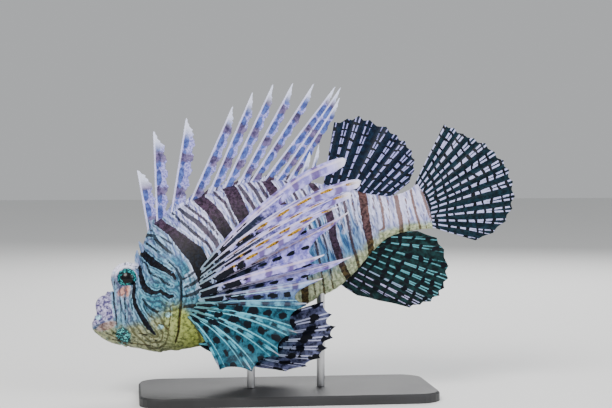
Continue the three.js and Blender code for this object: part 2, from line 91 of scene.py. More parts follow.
def posed(s, u, w):
    s, u, w = np.broadcast_arrays(np.asarray(s, float), np.asarray(u, float), np.asarray(w, float))
    a = heading(s)
    x = np.interp(s, spine_s, spine_x) - np.interp(pivot, spine_s, spine_x) + w * np.sin(a)
    side = np.interp(s, spine_s, spine_y) - np.interp(pivot, spine_s, spine_y) - w * np.cos(a)
    y = side * math.cos(bank) + u * math.sin(bank)
    z = -side * math.sin(bank) + u * math.cos(bank)
    right = x * math.cos(pitch) - z * math.sin(pitch)
    up = x * math.sin(pitch) + z * math.cos(pitch)
    return (np.stack([right, y, up], -1) + over_stand) / 1000


def posed_all(points):
    return posed(points[..., 0], points[..., 1], points[..., 2])


# %% [markdown]
# ## The shape of the body
# The body is a row of rounded sections, as a boat builder would draw them. A table gives the height of
# the back, the depth of the belly and half the width at two dozen places, and a smooth curve fills in
# between. Each section is fuller below its middle than above it.

# %% Sections
girth = np.array([
    [-2, -1.5, -8, 3.5], [1, 2, -12.5, 6], [5, 7.5, -16.6, 8], [9, 12.2, -19.6, 9.6], [13.5, 14.2, -22.2, 11],
    [18, 14.4, -24.6, 12.2], [24, 19, -27.5, 13.4], [31, 24.5, -30.4, 14.8], [38, 29.5, -33, 16.6],
    [44, 37.5, -34.6, 18.2], [50, 45, -35.6, 19.4], [56, 48.4, -36.3, 20], [68, 51.4, -37.8, 20.6],
    [82, 54.4, -38.6, 20.4], [104, 56, -37.6, 18.8], [122, 54.4, -34.8, 16.6], [139, 50, -31, 14],
    [154, 44.8, -28.5, 11.6], [168, 37.6, -22.5, 9.4], [183, 29.4, -13.5, 7.6], [195, 22.2, -8, 6.2],
    [206, 17.6, -7.6, 5.2], [216, 17.2, -9, 4.4], [226, 19.8, -11.3, 3],
])


def along(s, column):
    s = np.clip(np.asarray(s, float), girth[0, 0], girth[-1, 0])
    x, y = girth[:, 0], girth[:, column]
    slope = np.gradient(y, x)
    slope[1:-1] = (y[2:] - y[:-2]) / (x[2:] - x[:-2])
    i = np.clip(np.searchsorted(x, s, side="right") - 1, 0, len(x) - 2)
    h = x[i + 1] - x[i]
    t = (s - x[i]) / h
    return ((2 * t**3 - 3 * t**2 + 1) * y[i] + (t**3 - 2 * t**2 + t) * h * slope[i]
            + (3 * t**2 - 2 * t**3) * y[i + 1] + (t**3 - t**2) * h * slope[i + 1])


widest_at, full_above, full_below = 0.45, 1.16, 0.86


def outline(s):
    back, belly, half = (along(s, column) for column in (1, 2, 3))
    return back, belly, half, belly + widest_at * (back - belly)


def section(s, angle):
    back, belly, half, middle = outline(s)
    c, d = np.cos(angle), np.sin(angle)
    w = half * np.sign(c) * np.abs(c) ** np.where(d > 0, full_above, full_below)
    u = middle + np.where(d > 0, back - middle, middle - belly) * d
    return u, w, middle


def side_of(s, u):
    back, belly, half, middle = outline(s)
    d = np.clip(np.abs(u - middle) / np.where(u > middle, back - middle, middle - belly), 0, 1)
    return half * np.sqrt(1 - d * d) ** np.where(u > middle, full_above, full_below)


# %% [markdown]
# ## A helper for closed forms
# Skin, spines and rays are all closed tubes. A UV sphere already is one: it has rings, a closed seam and
# two poles. So each such piece starts as a sphere, and its rings are moved to where the form needs them.

# %% Shape a sphere by a table of rings
def tidy(obj):
    bpy.ops.object.select_all(action="DESELECT")
    obj.select_set(True)
    bpy.context.view_layer.objects.active = obj
    bpy.ops.object.mode_set(mode="EDIT")
    bpy.ops.mesh.select_all(action="SELECT")
    bpy.ops.mesh.normals_make_consistent(inside=False)
    bpy.ops.object.mode_set(mode="OBJECT")
    bpy.ops.object.shade_smooth()
    bpy.ops.object.select_all(action="DESELECT")


def paint(obj, name, values):
    values = np.asarray(values, np.float32)
    kind = "FLOAT_VECTOR" if values.ndim == 2 else "FLOAT"
    layer = obj.data.attributes.get(name) or obj.data.attributes.new(name, kind, "POINT")
    layer.data.foreach_set("vector" if values.ndim == 2 else "value", values.ravel())


def vertex_points(obj):
    flat = np.empty(len(obj.data.vertices) * 3, np.float32)
    obj.data.vertices.foreach_get("co", flat)
    return flat.reshape(-1, 3)


def move_to(obj, places):
    obj.data.vertices.foreach_set("co", places.astype(np.float32).ravel())
    obj.data.update()


def ring_form(name, rings, marks):
    """A sphere whose pole, rings and other pole go to the rows of a table of metres."""
    rows, columns = rings.shape[0] - 1, rings.shape[1]
    bpy.ops.mesh.primitive_uv_sphere_add(segments=columns, ring_count=rows, radius=1)
    obj = bpy.context.object
    obj.name = obj.data.name = name
    ball = vertex_points(obj)
    row = np.rint(np.arccos(np.clip(ball[:, 2], -1, 1)) / math.pi * rows).astype(int)
    column = np.rint(np.arctan2(ball[:, 1], ball[:, 0]) / (2 * math.pi) * columns).astype(int) % columns
    move_to(obj, rings[row, column])
    for key, table in marks.items():
        paint(obj, key, table[row, column])
    tidy(obj)
    return obj


def joined(name, pieces):
    bpy.ops.object.select_all(action="DESELECT")
    for obj in pieces:
        obj.select_set(True)
    whole = bpy.context.view_layer.objects.active = pieces[0]
    bpy.ops.object.join()
    whole.name = whole.data.name = name
    bpy.ops.object.select_all(action="DESELECT")
    return whole


# %% [markdown]
# ## The skin
# Head, jaws, gill covers, trunk and tail stalk are one skin on the living fish, so they are one piece
# here. The rings lie close together on the head, where the small forms are. Bulges, such as the mound
# under each eye, are ellipsoids: each point of the skin moves out to the farther of skin and ellipsoid,
# with a soft corner between them. Grooves and lips are then pressed in along drawn lines.

# %% Distance to a drawn line
def line_distance(s, u, line, widths=None):
    """Millimetres to the nearest point of a line in the side view, less the line's half width there."""
    line = np.asarray(line, float)
    best = np.full(np.shape(s), 1e9)
    for k in range(len(line) - 1):
        a, b = line[k, :2], line[k + 1, :2]
        d = b - a
        t = np.clip(((s - a[0]) * d[0] + (u - a[1]) * d[1]) / (d @ d), 0, 1)
        gap = np.hypot(s - a[0] - t * d[0], u - a[1] - t * d[1])
        if widths is not None:
            gap = gap - (widths[k] + (widths[k + 1] - widths[k]) * t)
        best = np.minimum(best, gap)
    return best


def ease(x, low, high):
    t = np.clip((np.asarray(x, float) - low) / (high - low), 0, 1)
    return t * t * (3 - 2 * t)


def between(x, low, full, fading, gone):
    return ease(x, low, full) * (1 - ease(x, fading, gone))


def hill(x, width):
    return np.exp(-((x / width) ** 2))


# %% Rings of the skin
skin_s = np.concatenate([np.arange(-2.6, 60, 0.62), np.arange(60.2, 226.2, 1.25), [227.0]])
snout_tip, tail_end = (-3.2, -4.8, 0), (227.5, 4.4, 0)


def circle(count):
    return np.arange(count) / count * 2 * math.pi


S, A = np.meshgrid(skin_s, circle(208), indexing="ij")
U, W, middle = section(S, A)
nose = np.clip((S - snout_tip[0]) / 1.2, 0, 1) ** 0.5
tail = np.clip((tail_end[0] - S) / 1.5, 0, 1) ** 0.5
shrink = np.minimum(nose, tail)
for end, (_, end_u, _) in ((S < 0, snout_tip), (S > 220, tail_end)):
    U = np.where(end, end_u + (U - end_u) * shrink, U)
W = W * shrink
out = np.hypot(W, U - middle)
dir_w, dir_u = W / np.maximum(out, 1e-6), (U - middle) / np.maximum(out, 1e-6)


def soft_max(a, b, k):
    h = np.clip(0.5 + 0.5 * (a - b) / k, 0, 1)
    return b + (a - b) * h + k * h * (1 - h)


def bulge(out, centre, radii, k):
    """Moves the skin out to an ellipsoid wherever that stands farther out."""
    cs, cu, cw = centre
    slice_size = 1 - ((S - cs) / radii[0]) ** 2
    size = np.sqrt(np.clip(slice_size, 1e-6, None))
    ru, rw = radii[1] * size, radii[2] * size
    pu, pw = middle - cu, -cw
    a = (dir_u / ru) ** 2 + (dir_w / rw) ** 2
    b = pu * dir_u / ru**2 + pw * dir_w / rw**2
    c = (pu / ru) ** 2 + (pw / rw) ** 2 - 1
    root = b * b - a * c
    far = (-b + np.sqrt(np.clip(root, 0, None))) / a
    hit = (slice_size > 0) & (root > 0) & (far > 0)
    return np.where(hit, soft_max(np.where(hit, far, 0), out, k), out)


mounds = {
    "orbit": [(27.4, 18.6, 4.2), (10.5, 10.4, 6.8), 1.4], "under eye": [(25.3, 11.4, 6.6), (6.4, 5.6, 6), 1.6],
    "cheek ridge": [(31, 4, 7.5), (15, 7, 8.6), 2.5], "gill cover": [(46, -2, 8), (15, 21, 11.6), 3],
    "upper jaw": [(20, 0, 6.2), (5.6, 15, 6.6), 1.2], "snout": [(9.6, 5.5, 3.6), (7, 7.6, 5.2), 1.3],
    "lip": [(9, -8.6, 5.2), (7.5, 4.2, 5.4), 1.2], "shoulder": [(64, -5, 11), (12, 15, 10.6), 2],
}
for flank in (1, -1):
    for (cs, cu, cw), radii, corner in mounds.values():
        out = bulge(out, (cs, cu, cw * flank), radii, corner)
print("skin rings", S.shape, "widest", round(float((dir_w * out).max()) * 2, 1), "mm")

# %% [markdown]
# ## Mouth, gill edge and the small relief of the head
# The mouth is a groove between two swollen lips, and the gill cover ends in an edge that stands a little
# proud of the body. The snout of this fish is rough with soft warts, and its throat lies in folds. All
# of this is relief of half a millimetre to a millimetre, so it is added to the rings as height.

# %% Relief
U0, W0 = middle + dir_u * out, dir_w * out
mouth_line = [[-7, -2.4], [-1, -3.8], [4.5, -6], [8, -9.8], [10.6, -13.4]]
relief = np.zeros_like(out)
mouth = line_distance(S, U0, mouth_line)
relief += (0.95 * hill(mouth - 1.7, 1.0) - 1.5 * hill(mouth, 0.55)) * (S < 14)
groove_line = [[21, 25], [19.2, 18.6], [16.4, 12.6], [14.6, 5], [13.8, -2.2], [12.3, -8.4]]
groove = line_distance(S, U0, groove_line)
relief -= hill(groove, 0.75) * (U0 < 24)
for column_s in (19.4, 22.4, 25.2, 28.2):
    ridge = S - column_s - (U0 - 4) * 0.16
    relief += 0.45 * hill(ridge, 0.75) * between(U0, -12, -5, 6, 11) * (np.abs(W0) > 4)
jaw = line_distance(S, U0, [[9.6, -9], [13.5, -12.5], [15.5, -17], [14, -20.5]])
relief += 0.9 * hill(jaw, 1.9) - 0.8 * hill(jaw - 2.7, 0.6) * (S > 9)

edge_s = np.interp(-U0, [-44, -26, -16, -9, 5, 22, 34], [47, 53, 57.6, 58.4, 54.5, 48, 42])
past = S - edge_s
cover = between(past, -16, -1, -0.4, 0.5)
relief += between(U0, -33, -24, 20, 34) * (1.3 * cover - hill(past - 1.1, 0.8))
plate = S - np.interp(-U0, [-16, -6, 6, 18, 28], [43, 45.5, 44.5, 38, 30])
relief += between(U0, -27, -20, 8, 17) * (0.8 * hill(plate, 1.3) - 0.6 * hill(plate - 2.2, 0.8))

fold_way = (U0 + 6) * 0.86 + S * 0.5
folds = np.sin(fold_way * 2 * math.pi / 3.1 + 0.9 * np.sin(S * 0.31)) * 0.3
relief += folds * ease(-U0, 14, 24) * between(S, 2, 8, 40, 58)

chance = np.random.default_rng(7)
for k in range(150):
    bs, angle_k = chance.uniform(-1, 21), chance.uniform(-0.5, math.pi + 0.5)
    size, height = chance.uniform(0.55, 1.15), chance.uniform(0.2, 0.62)
    bu, bw, _ = section(bs, angle_k)
    near = (S - bs) ** 2 + (U0 - bu) ** 2 + (W0 - bw * 1.15) ** 2
    relief += height * np.exp(-near / size**2)
grain = 0.13 * np.sin(S * 3.1 + 2.3 * np.sin(U0 * 1.3)) * np.sin(U0 * 2.7 + 1.9 * np.sin(S * 1.1))
relief += grain * (1 - ease(S, 45, 62))
waves = 0.16 * np.sin((S + 0.34 * U0) * 2 * math.pi / 4.6 + 0.8 * np.sin(U0 * 0.22))
relief += waves * between(S, 60, 75, 215, 225)
relief += 0.9 * ease(-U0, 18, 26) * between(S, 22, 33, 33.6, 35.4)
relief *= shrink
print("relief from", round(float(relief.min()), 2), "to", round(float(relief.max()), 2), "mm")

# %% [markdown]
# ## The stripes
# The stripes of this fish follow the same plan on both sides. Each is drawn as a line in the side view,
# with its half width at every point, and the skin stores how deep inside the nearest stripe each point
# lies. The material turns that depth into a crisp, slightly wandering edge. Broad bands and thin lines
# are kept apart, because they differ in colour. One of the thin lines is painted shadow: it runs just
# behind the rear edge of the gill cover, where the edge of the cover casts shade.

# %% Bands and lines
bands = [
    [[30.7, 14, 1.0], [30.3, 12.2, 1.1], [27.9, 6.1, 1.2], [27.3, 0.3, 1.25], [28.4, -5.5, 1.5],
     [29.6, -10.8, 1.7], [31.3, -16.2, 1.5], [33.5, -21, 0.7]],
    [[37.2, 30.5, 0.3], [37.1, 24.2, 0.8], [36.3, 18.2, 1.5], [35.8, 11.8, 1.95], [36.9, 7.4, 2.1],
     [39.8, 4.4, 1.6], [42.9, 3.3, 1.0], [45, 3.8, 1.0], [46.3, 1.7, 1.2], [49.1, -1.7, 1.5],
     [51, -1.8, 1.2]],
    [[40.1, 34.1, 1.9], [43.2, 27.9, 2.3], [45.6, 22.8, 2.5], [48.9, 19.1, 2.1], [52.4, 14.9, 1.6],
     [55.2, 11.5, 1.4], [56.1, 8.2, 1.0]],
    [[57.2, 52.1, 3.2], [56.1, 49.5, 3.2], [59.4, 43.2, 2.7], [63.5, 37.5, 3.2], [66.5, 31.3, 4.2],
     [69.5, 25.2, 5.1], [72.6, 19.7, 5.8], [73.8, 14.3, 5.6], [74.4, 2, 5], [73, -14, 4.2], [70, -36, 3.4]],
    [[86.8, 55.2, 4.2], [87.1, 52.8, 3.9], [90.8, 46.1, 3.9], [93.6, 38.3, 4.2], [95, 31.2, 4.2],
     [96.8, 25.1, 3.9], [98.4, 10, 4], [97.6, -10, 3.8], [94, -38, 3]],
    [[107.3, 55, 4.2], [108.3, 48.3, 4.5], [108.8, 40.1, 4.8], [109.3, 35.6, 4.6], [110, 30, 4.2],
     [112, 12, 3.8], [111, -10, 3.6], [106, -37, 2.8]],
    [[131.5, 52, 2.8], [134.5, 40, 3.4], [137, 24, 3.8], [137.6, 6, 3.6], [135.6, -12, 3], [131, -32, 2.2]],
    [[158.5, 42, 2], [161.8, 33, 2.4], [163.3, 25, 2.5], [163.5, 18, 2.7], [162.8, 11, 2.6], [161, 3, 2.5],
     [161, -6, 2.6], [161, -14.8, 2.3], [161.8, -21, 2.3], [163.4, -26.2, 1.9]],
    [[188.9, 31, 1.9], [188.4, 24.9, 2.6], [187.7, 19.9, 2.8], [186.4, 14.1, 2.8], [184.9, 6.6, 2.8],
     [183.8, -1.5, 2.6], [183.1, -8.5, 2.2], [181.6, -15.7, 1.9]],
]
lines_and_gill_shadow = [
    [[21, 24, 0.3], [19.2, 18.6, 0.6], [16.4, 12.6, 0.7], [14.6, 5, 0.6], [13.8, -2.2, 0.5],
     [12.3, -8.4, 0.3]],
    [[22.4, 7.6, 0.3], [21, 2, 0.4], [19.4, -4, 0.35], [17, -9.9, 0.3]],
    [[19.8, 7.4, 0.3], [17.6, 0, 0.35], [15.6, -7.3, 0.3]],
    [[26.4, 5.6, 0.25], [24.6, -1, 0.3], [23.4, -7.5, 0.25]],
    # This line runs just behind the rear edge of the gill cover: painted shadow of the cover's edge, not a
    # stripe.
    [[54.6, 21, 0.5], [58.6, 14, 0.75], [59.6, 8, 0.9], [57.6, 0, 0.9], [55.2, -7, 0.8], [51.6, -15, 0.8],
     [48.4, -23, 0.75], [44, -30, 0.5]],
    [[60.5, 6.5, 0.6], [66, 7.4, 0.9], [73, 10.5, 0.9]],
    [[60, 1.2, 0.7], [66, 1.6, 1.1], [74, 4.5, 1.1]],
    [[58, -4.4, 0.9], [65, -4.6, 1.3], [74, -2, 1.3]],
    [[56.4, -10.4, 1.0], [62, -11.6, 1.4], [69, -14.8, 1.5]],
    [[43, -20, 0.3], [46.5, -12, 0.4], [48, -6, 0.3]],
    [[36, -14, 0.3], [40, -17, 0.4], [43.4, -22.5, 0.3]],
    [[24, -17, 0.3], [29, -20, 0.4], [33, -25, 0.3]],
    [[3, -9, 0.25], [9, -14.6, 0.35], [14, -21, 0.3]],
    [[14, -20, 0.25], [22, -23.4, 0.35], [30, -27.4, 0.3]],
    [[5, -14, 0.25], [11, -18, 0.3], [18, -25, 0.3]],
    [[47.4, 41.5, 1.0], [51.7, 39.2, 1.1], [52.6, 34.1, 1.2], [55.2, 30, 1.2], [57.8, 25.6, 1.0],
     [59.1, 23.6, 0.6]],
    [[45.8, 36.1, 0.65], [48.5, 32, 0.65], [50.8, 28.5, 0.65], [52.4, 27.2, 0.4]],
    [[55.5, 37.2, 0.6], [58.3, 33.4, 0.8], [61, 29.6, 0.6]],
    [[48.7, 45, 0.5], [51.8, 42.9, 0.5]],
    [[39.7, 26.2, 0.5], [41.8, 23.3, 0.6], [41.9, 17.1, 0.8], [43.9, 14.4, 0.6], [46.6, 11.9, 0.65],
     [48.5, 8.8, 0.8], [51.3, 5.4, 0.65], [53, 4.4, 0.4]],
    [[32.8, 2.4, 0.6], [34.3, -2.1, 0.85], [36.6, -5.8, 0.9], [39.2, -8.2, 0.8], [41.6, -8.5, 0.4]],
    [[31.8, -0.8, 0.4], [32.3, -5.3, 0.5], [34, -9.3, 0.45], [35.5, -10.8, 0.4]],
    [[67.1, 50.5, 0.7], [72.3, 40.2, 1.0], [76.6, 32, 1.1], [80.2, 26.3, 1.1], [82.8, 22.4, 0.9],
     [85, 8, 0.8]],
    [[72.5, 51.5, 1.2], [75.4, 45.6, 1.4], [80.4, 38.6, 1.7], [84, 31.6, 1.85], [87.6, 23.2, 1.6],
     [89, 8, 1]],
    [[77, 52.5, 0.9], [79.5, 48, 0.95], [84, 41.4, 0.9], [87.2, 35.8, 0.9], [89.4, 29.6, 0.85],
     [91, 25, 0.6]],
    [[97.2, 55.5, 0.9], [98.4, 51.1, 1.0], [101.4, 45.4, 1.1], [102.3, 39.4, 1.0], [103, 34, 0.9],
     [104.4, 12, 0.7]],
    [[113.8, 54, 1.2], [116.3, 44.5, 1.4], [117.6, 38.9, 1.3], [118.9, 33, 1.3], [120.4, 12, 1.0],
     [119, -12, 0.8]],
    [[120.6, 54, 1.2], [123.2, 45.7, 1.3], [123.9, 40.9, 1.3], [125.2, 34.9, 1.3], [127, 14, 1.0],
     [126, -12, 0.8]],
    [[126.4, 52, 0.9], [127.9, 43.6, 1.1], [129.3, 37.6, 1.0], [131, 18, 0.7]],
    [[143.5, 48, 0.9], [146.5, 36, 1.0], [148.6, 20, 1.0], [148.8, 2, 0.9], [147.6, -12, 0.8],
     [144.6, -31, 0.8]],
    [[150.5, 44, 0.7], [153.6, 32, 0.9], [155.4, 16, 0.8], [155, -2, 0.7], [152.6, -18, 0.65],
     [151.2, -28, 0.65]],
    [[140, -16, 0.6], [139.2, -28, 0.65]],
    [[175.9, 28, 0.8], [175.3, 23.2, 1.0], [174.8, 18.4, 1.0], [173.5, 9, 1.0], [172.4, 2, 1.0],
     [171.5, -6.1, 1.0], [171.6, -13.3, 1.0], [171.5, -20.9, 1.0]],
    [[170.9, 26, 0.7], [169.8, 17, 0.6], [168.6, 4, 0.35]],
    [[181.3, 26, 0.65], [180.1, 19.2, 0.6], [178.8, 6, 0.35]],
    [[198.6, 20, 0.8], [198.3, 16.6, 0.9], [197.8, 11.7, 0.9], [196.3, 4.8, 0.85], [194.8, -1.3, 0.8],
     [191.3, -2.1, 0.6]],
    [[209.6, 19, 1.5], [208.4, 12.7, 1.5], [207.4, 7.4, 1.55], [206.9, 1.4, 1.55], [204.8, -8, 1.4]],
    [[219.7, 18, 0.85], [219, 13, 0.9], [218.2, 8.3, 0.9], [217.8, 1.7, 0.9], [217.4, -9, 0.8]],
    [[226.9, 21.8, 1.2], [226.6, 16.9, 1.3], [226.1, 9.5, 1.3], [226, 2.1, 1.2], [226.4, -5.9, 1.2],
     [226.8, -11, 1.0]],
    [[194.5, 20.5, 0.6], [191.7, 9.3, 0.4]],
    [[203.2, 17, 0.45], [199.6, 0.7, 0.4]],
    [[214.2, 12.7, 0.45], [211.8, -0.7, 0.5], [210.5, -7.5, 0.6]],
    [[222.4, -0.4, 0.4], [221.5, -9.5, 0.45]],
]


outside = -9.0  # the depth that stands for "far from every stripe"


def depth_inside(s, u, marks):
    deepest = np.full(np.shape(s), outside)
    for mark in marks:
        mark = np.asarray(mark, float)
        deepest = np.maximum(deepest, -line_distance(s, u, mark, mark[:, 2]))
    return deepest


U1, W1 = middle + dir_u * (out + relief), dir_w * (out + relief)
band = depth_inside(S, U1, bands)
thin = depth_inside(S, U1, lines_and_gill_shadow)
sunken = -0.12 * ease(band, -0.4, 0.6)
U1, W1 = U1 + dir_u * sunken * shrink, W1 + dir_w * sunken * shrink
rise = (U1 - middle) / np.where(U1 > middle, along(S, 1) - middle, middle - along(S, 2))
print("bands cover", round(float((band > 0).mean()) * 100), "% of the skin's points")


# %% Build the skin
def with_poles(table, first, last):
    first = np.broadcast_to(np.asarray(first, float), table[:1].shape)
    last = np.broadcast_to(np.asarray(last, float), table[:1].shape)
    return np.concatenate([first, table, last])


places = with_poles(posed(S, U1, W1), posed(*snout_tip), posed(*tail_end))
marks = {
    "fish": with_poles(np.stack([S, U1, W1], -1), snout_tip, tail_end),
    "band": with_poles(band, outside, outside),
    "thin": with_poles(thin, outside, outside),
    "rise": with_poles(rise, 0, 0),
}
skin = ring_form("skin", places, marks)
skin_nodes = ["head", "lower_jaw", "gill_cover_left", "gill_cover_right", "trunk", "tail_stalk"]
print("skin", len(skin.data.polygons), "faces")

# %% [markdown]
# ## The eyes
# The eye of a lionfish sits in a turret of skin and looks sideways. It is a ball with a slight bulge for
# the clear front. Its rings run round the line of sight, so the iris is a matter of how far a point lies
# from the middle. Each point stores that place, for the pupil and the dark bar that crosses the eye.

# %% Eyeballs
eye = {"s": 27.4, "u": 18.6, "w": 5.6, "radius": 8.0, "back": -4.4}


def eyeball(name, flank):
    theta = np.linspace(0, math.pi, 65)
    T, P = np.meshgrid(theta, circle(96), indexing="ij")
    radius = eye["radius"] - 0.12 + 0.3 * hill(T, 0.62) - 0.22 * hill(T - 0.8, 0.1)
    a, b = np.sin(T) * np.cos(P) * radius, np.sin(T) * np.sin(P) * radius
    c = np.maximum(np.cos(T) * radius, eye["back"])
    places = posed(eye["s"] + a, eye["u"] + b, flank * (eye["w"] + c))
    places[0] = places[0, 0]
    places[-1] = posed(eye["s"], eye["u"], flank * (eye["w"] + eye["back"]))
    look = np.stack([a, b, c], -1)
    look[0], look[-1] = (0, 0, eye["radius"]), (0, 0, eye["back"])
    return ring_form(name, places, {"look": look})


eye_left = eyeball("eyeball_left", 1)
eye_right = eyeball("eyeball_right", -1)


# %% [markdown]
# ## Lids, warts and head spines
# A thick lumpy lid frames each eye, and its upper edge carries a row of tiny spines. Two spikes stand
# on the nape behind the eye and small ones on the cheek. They are short cones, so each is a sphere drawn
# out along a bent line that is thick at its foot and ends in a point.

# %% A tapering form along a line
def tapered(name, line, radii, around, rows):
    """A closed form along a line in fish coordinates, with a radius at each of the line's points."""
    line, radii = np.asarray(line, float), np.asarray(radii, float)
    stops = np.concatenate([[0], np.cumsum(np.linalg.norm(np.diff(line, axis=0), axis=1))])
    t = np.linspace(0, stops[-1], rows + 1)
    mid = np.stack([np.interp(t, stops, line[:, k]) for k in range(3)], -1)
    size = np.interp(t, stops, radii)
    way = np.gradient(mid, axis=0)
    way /= np.linalg.norm(way, axis=1, keepdims=True)
    helper = np.array([0, 0, 1.0]) if abs(way[0, 2]) < 0.8 else np.array([0, 1.0, 0])
    right = np.cross(way, helper)
    right /= np.linalg.norm(right, axis=1, keepdims=True)
    other = np.cross(way, right)
    phi = circle(around)[None, :, None]
    ring = right[:, None] * np.cos(phi) + other[:, None] * np.sin(phi)
    points = mid[:, None] + ring * size[:, None, None]
    points[0], points[-1] = mid[0], mid[-1]
    no_band = np.full(points.shape[:2], outside)
    middle_u = np.interp(points[..., 0], girth[:, 0], girth[:, 2] + widest_at * (girth[:, 1] - girth[:, 2]))
    rise = np.clip((points[..., 1] - middle_u) / 30, -1, 1)
    return ring_form(name, posed_all(points), {"fish": points, "band": no_band, "thin": no_band, "rise": rise})


# %% Lids
lid_steps, lid_around = 72, 20


def lid_ring(flank):
    """A ring on the orbit, thicker below, with scallops along its upper edge."""
    P, Q = np.meshgrid(circle(lid_steps), circle(lid_around), indexing="ij")
    upper = ease(np.sin(P), 0.05, 0.6)
    tube = 1.1 + 0.25 * np.sin(P * 11) * upper + 0.12 * np.sin(P * 7 + 1) * np.cos(Q * 2)
    ring = 7.0 + tube * np.cos(Q)
    s = eye["s"] + np.cos(P) * ring
    u = eye["u"] + np.sin(P) * ring
    w = 9.6 + tube * np.sin(Q) + 0.7 * upper - np.cos(P) * 0.9
    return np.stack([s, u, w * flank], -1)


def lid_piece(name, flank):
    bpy.ops.mesh.primitive_torus_add(major_segments=lid_steps, minor_segments=lid_around, major_radius=1,
                                     minor_radius=0.25)
    obj = bpy.context.object
    x, y, z = vertex_points(obj).T
    i = np.rint(np.arctan2(y, x) / (2 * math.pi) * lid_steps).astype(int) % lid_steps
    across = np.arctan2(z, np.hypot(x, y) - 1)
    j = np.rint(across / (2 * math.pi) * lid_around).astype(int) % lid_around
    point = lid_ring(flank)[i, j]
    move_to(obj, posed_all(point))
    paint(obj, "fish", point)
    bar = 1.2 - np.abs(point[:, 0] - 31.5 + (point[:, 1] - 12) * 0.25)
    paint(obj, "band", np.where(point[:, 1] < 15, bar, outside))
    paint(obj, "thin", np.full(len(point), outside))
    paint(obj, "rise", np.where(point[:, 1] > 19, 0.95, 0.3))
    tidy(obj)
    parts = [obj]
    for k in range(9):
        turn_k = math.radians(28 + 15 * k)
        a, b = math.cos(turn_k), math.sin(turn_k)
        far = 10.0 + 0.5 * (k % 2)
        root = [eye["s"] + a * 8.1, eye["u"] + b * 8.1, flank * 10.4]
        tip = [eye["s"] + a * far, eye["u"] + b * far, flank * 11.3]
        parts.append(tapered("lash", [root, tip], [0.75, 0.1], around=8, rows=6))
    return joined(name, parts)


lid_left = lid_piece("eyelid_left", 1)
lid_right = lid_piece("eyelid_right", -1)


# %% Head spikes, nostrils and warts
def spikes(name, flank):
    parts = []
    for s, u, w, ds, du, r in [[36.4, 25.6, 6, 2.4, 8.5, 2.6], [42.5, 33.5, 5.5, -1, 5.5, 2]]:
        line = [[s, u - 2, (w - 1) * flank], [s + ds * 0.5, u + du * 0.5, (w + 0.7) * flank],
                [s + ds, u + du, (w + 1) * flank]]
        parts.append(tapered("spike", line, [r, r * 0.62, 0.3], around=18, rows=16))
    for s, u, ds, du, r in [[43.5, 1.5, 4.8, 1.2, 1.2], [44, -6.5, 4.2, -1.4, 1.2], [41, -14, 3.6, -2.6, 1.1],
                            [36, 3.4, 3.0, 0.6, 0.9], [30.5, 3.0, 2.2, 0.4, 0.8], [53.5, 12, 3.6, 0.8, 1.0]]:
        w0 = float(side_of(s, u)) + 0.2
        line = [[s, u, (w0 - 0.8) * flank], [s + ds * 0.6, u + du * 0.6, (w0 + 0.9) * flank],
                [s + ds, u + du, (w0 + 1.0) * flank]]
        parts.append(tapered("thorn", line, [r, r * 0.55, 0.12], around=10, rows=8))
    for s, u, w, h, r in [[13.5, 12.2, 4.4, 2.4, 1.2], [9.8, 10.2, 4.4, 1.6, 0.8], [1.5, 0.6, 3.6, 1.8, 0.7],
                          [4.2, -14.2, 6.2, 1.2, 0.6], [17.5, 5.5, 9.4, 1.6, 0.9],
                          [20.5, -1.5, 12.2, 1.5, 0.9]]:
        line = [[s, u - 0.6, w * flank], [s - 0.3, u + h * 0.5, (w + 0.6) * flank],
                [s - 0.6, u + h, (w + 0.8) * flank]]
        parts.append(tapered("wart", line, [r, r * 0.9, r * 0.5], around=12, rows=8))
    return joined(name, parts)


spikes_left = spikes("head_spines_left", 1)
spikes_right = spikes("head_spines_right", -1)

# %% [markdown]
# ## Rays
# All fins are made of rays. A ray starts on the body, leans by one angle and may curve by another on the
# way to its tip. The same rule drew the solids, so the dressed fins grow from the same places. The rays
# of the paired fins also stand out from the body to the side.

# %% The rule of a ray
def bent(root, lean, turn_by, length, t):
    a, k = math.radians(lean), math.radians(turn_by)
    if abs(k) < 0.001:
        return root[0] + math.cos(a) * length * t, root[1] + math.sin(a) * length * t
    r = length / k
    return root[0] + r * (np.sin(a + k * t) - math.sin(a)), root[1] - r * (np.cos(a + k * t) - math.cos(a))


def fin_rays(fin, t, flank=1):
    """Points of every ray at the shares t of its length: rays, shares, and s, u, w."""
    count = len(fin["lean"])
    lines_out = []
    for i in range(count):
        f = i / (count - 1)
        (s0, u0), (s1, u1) = fin["root"]
        root = (s0 + (s1 - s0) * f, u0 + (u1 - u0) * f)
        s, u = bent(root, fin["lean"][i], fin.get("turn", [0] * count)[i], fin["length"][i], t)
        w = np.zeros_like(t)
        if "out" in fin:
            grown = 1 - np.clip(1 - t, 0, None) ** 1.35
            w = fin["w"] - fin["sink"] + (fin["out"][i] + fin["sink"]) * np.where(t < 0, t * 1.35, grown)
        lines_out.append(np.stack([s, u, w * flank], -1))
    return np.array(lines_out)


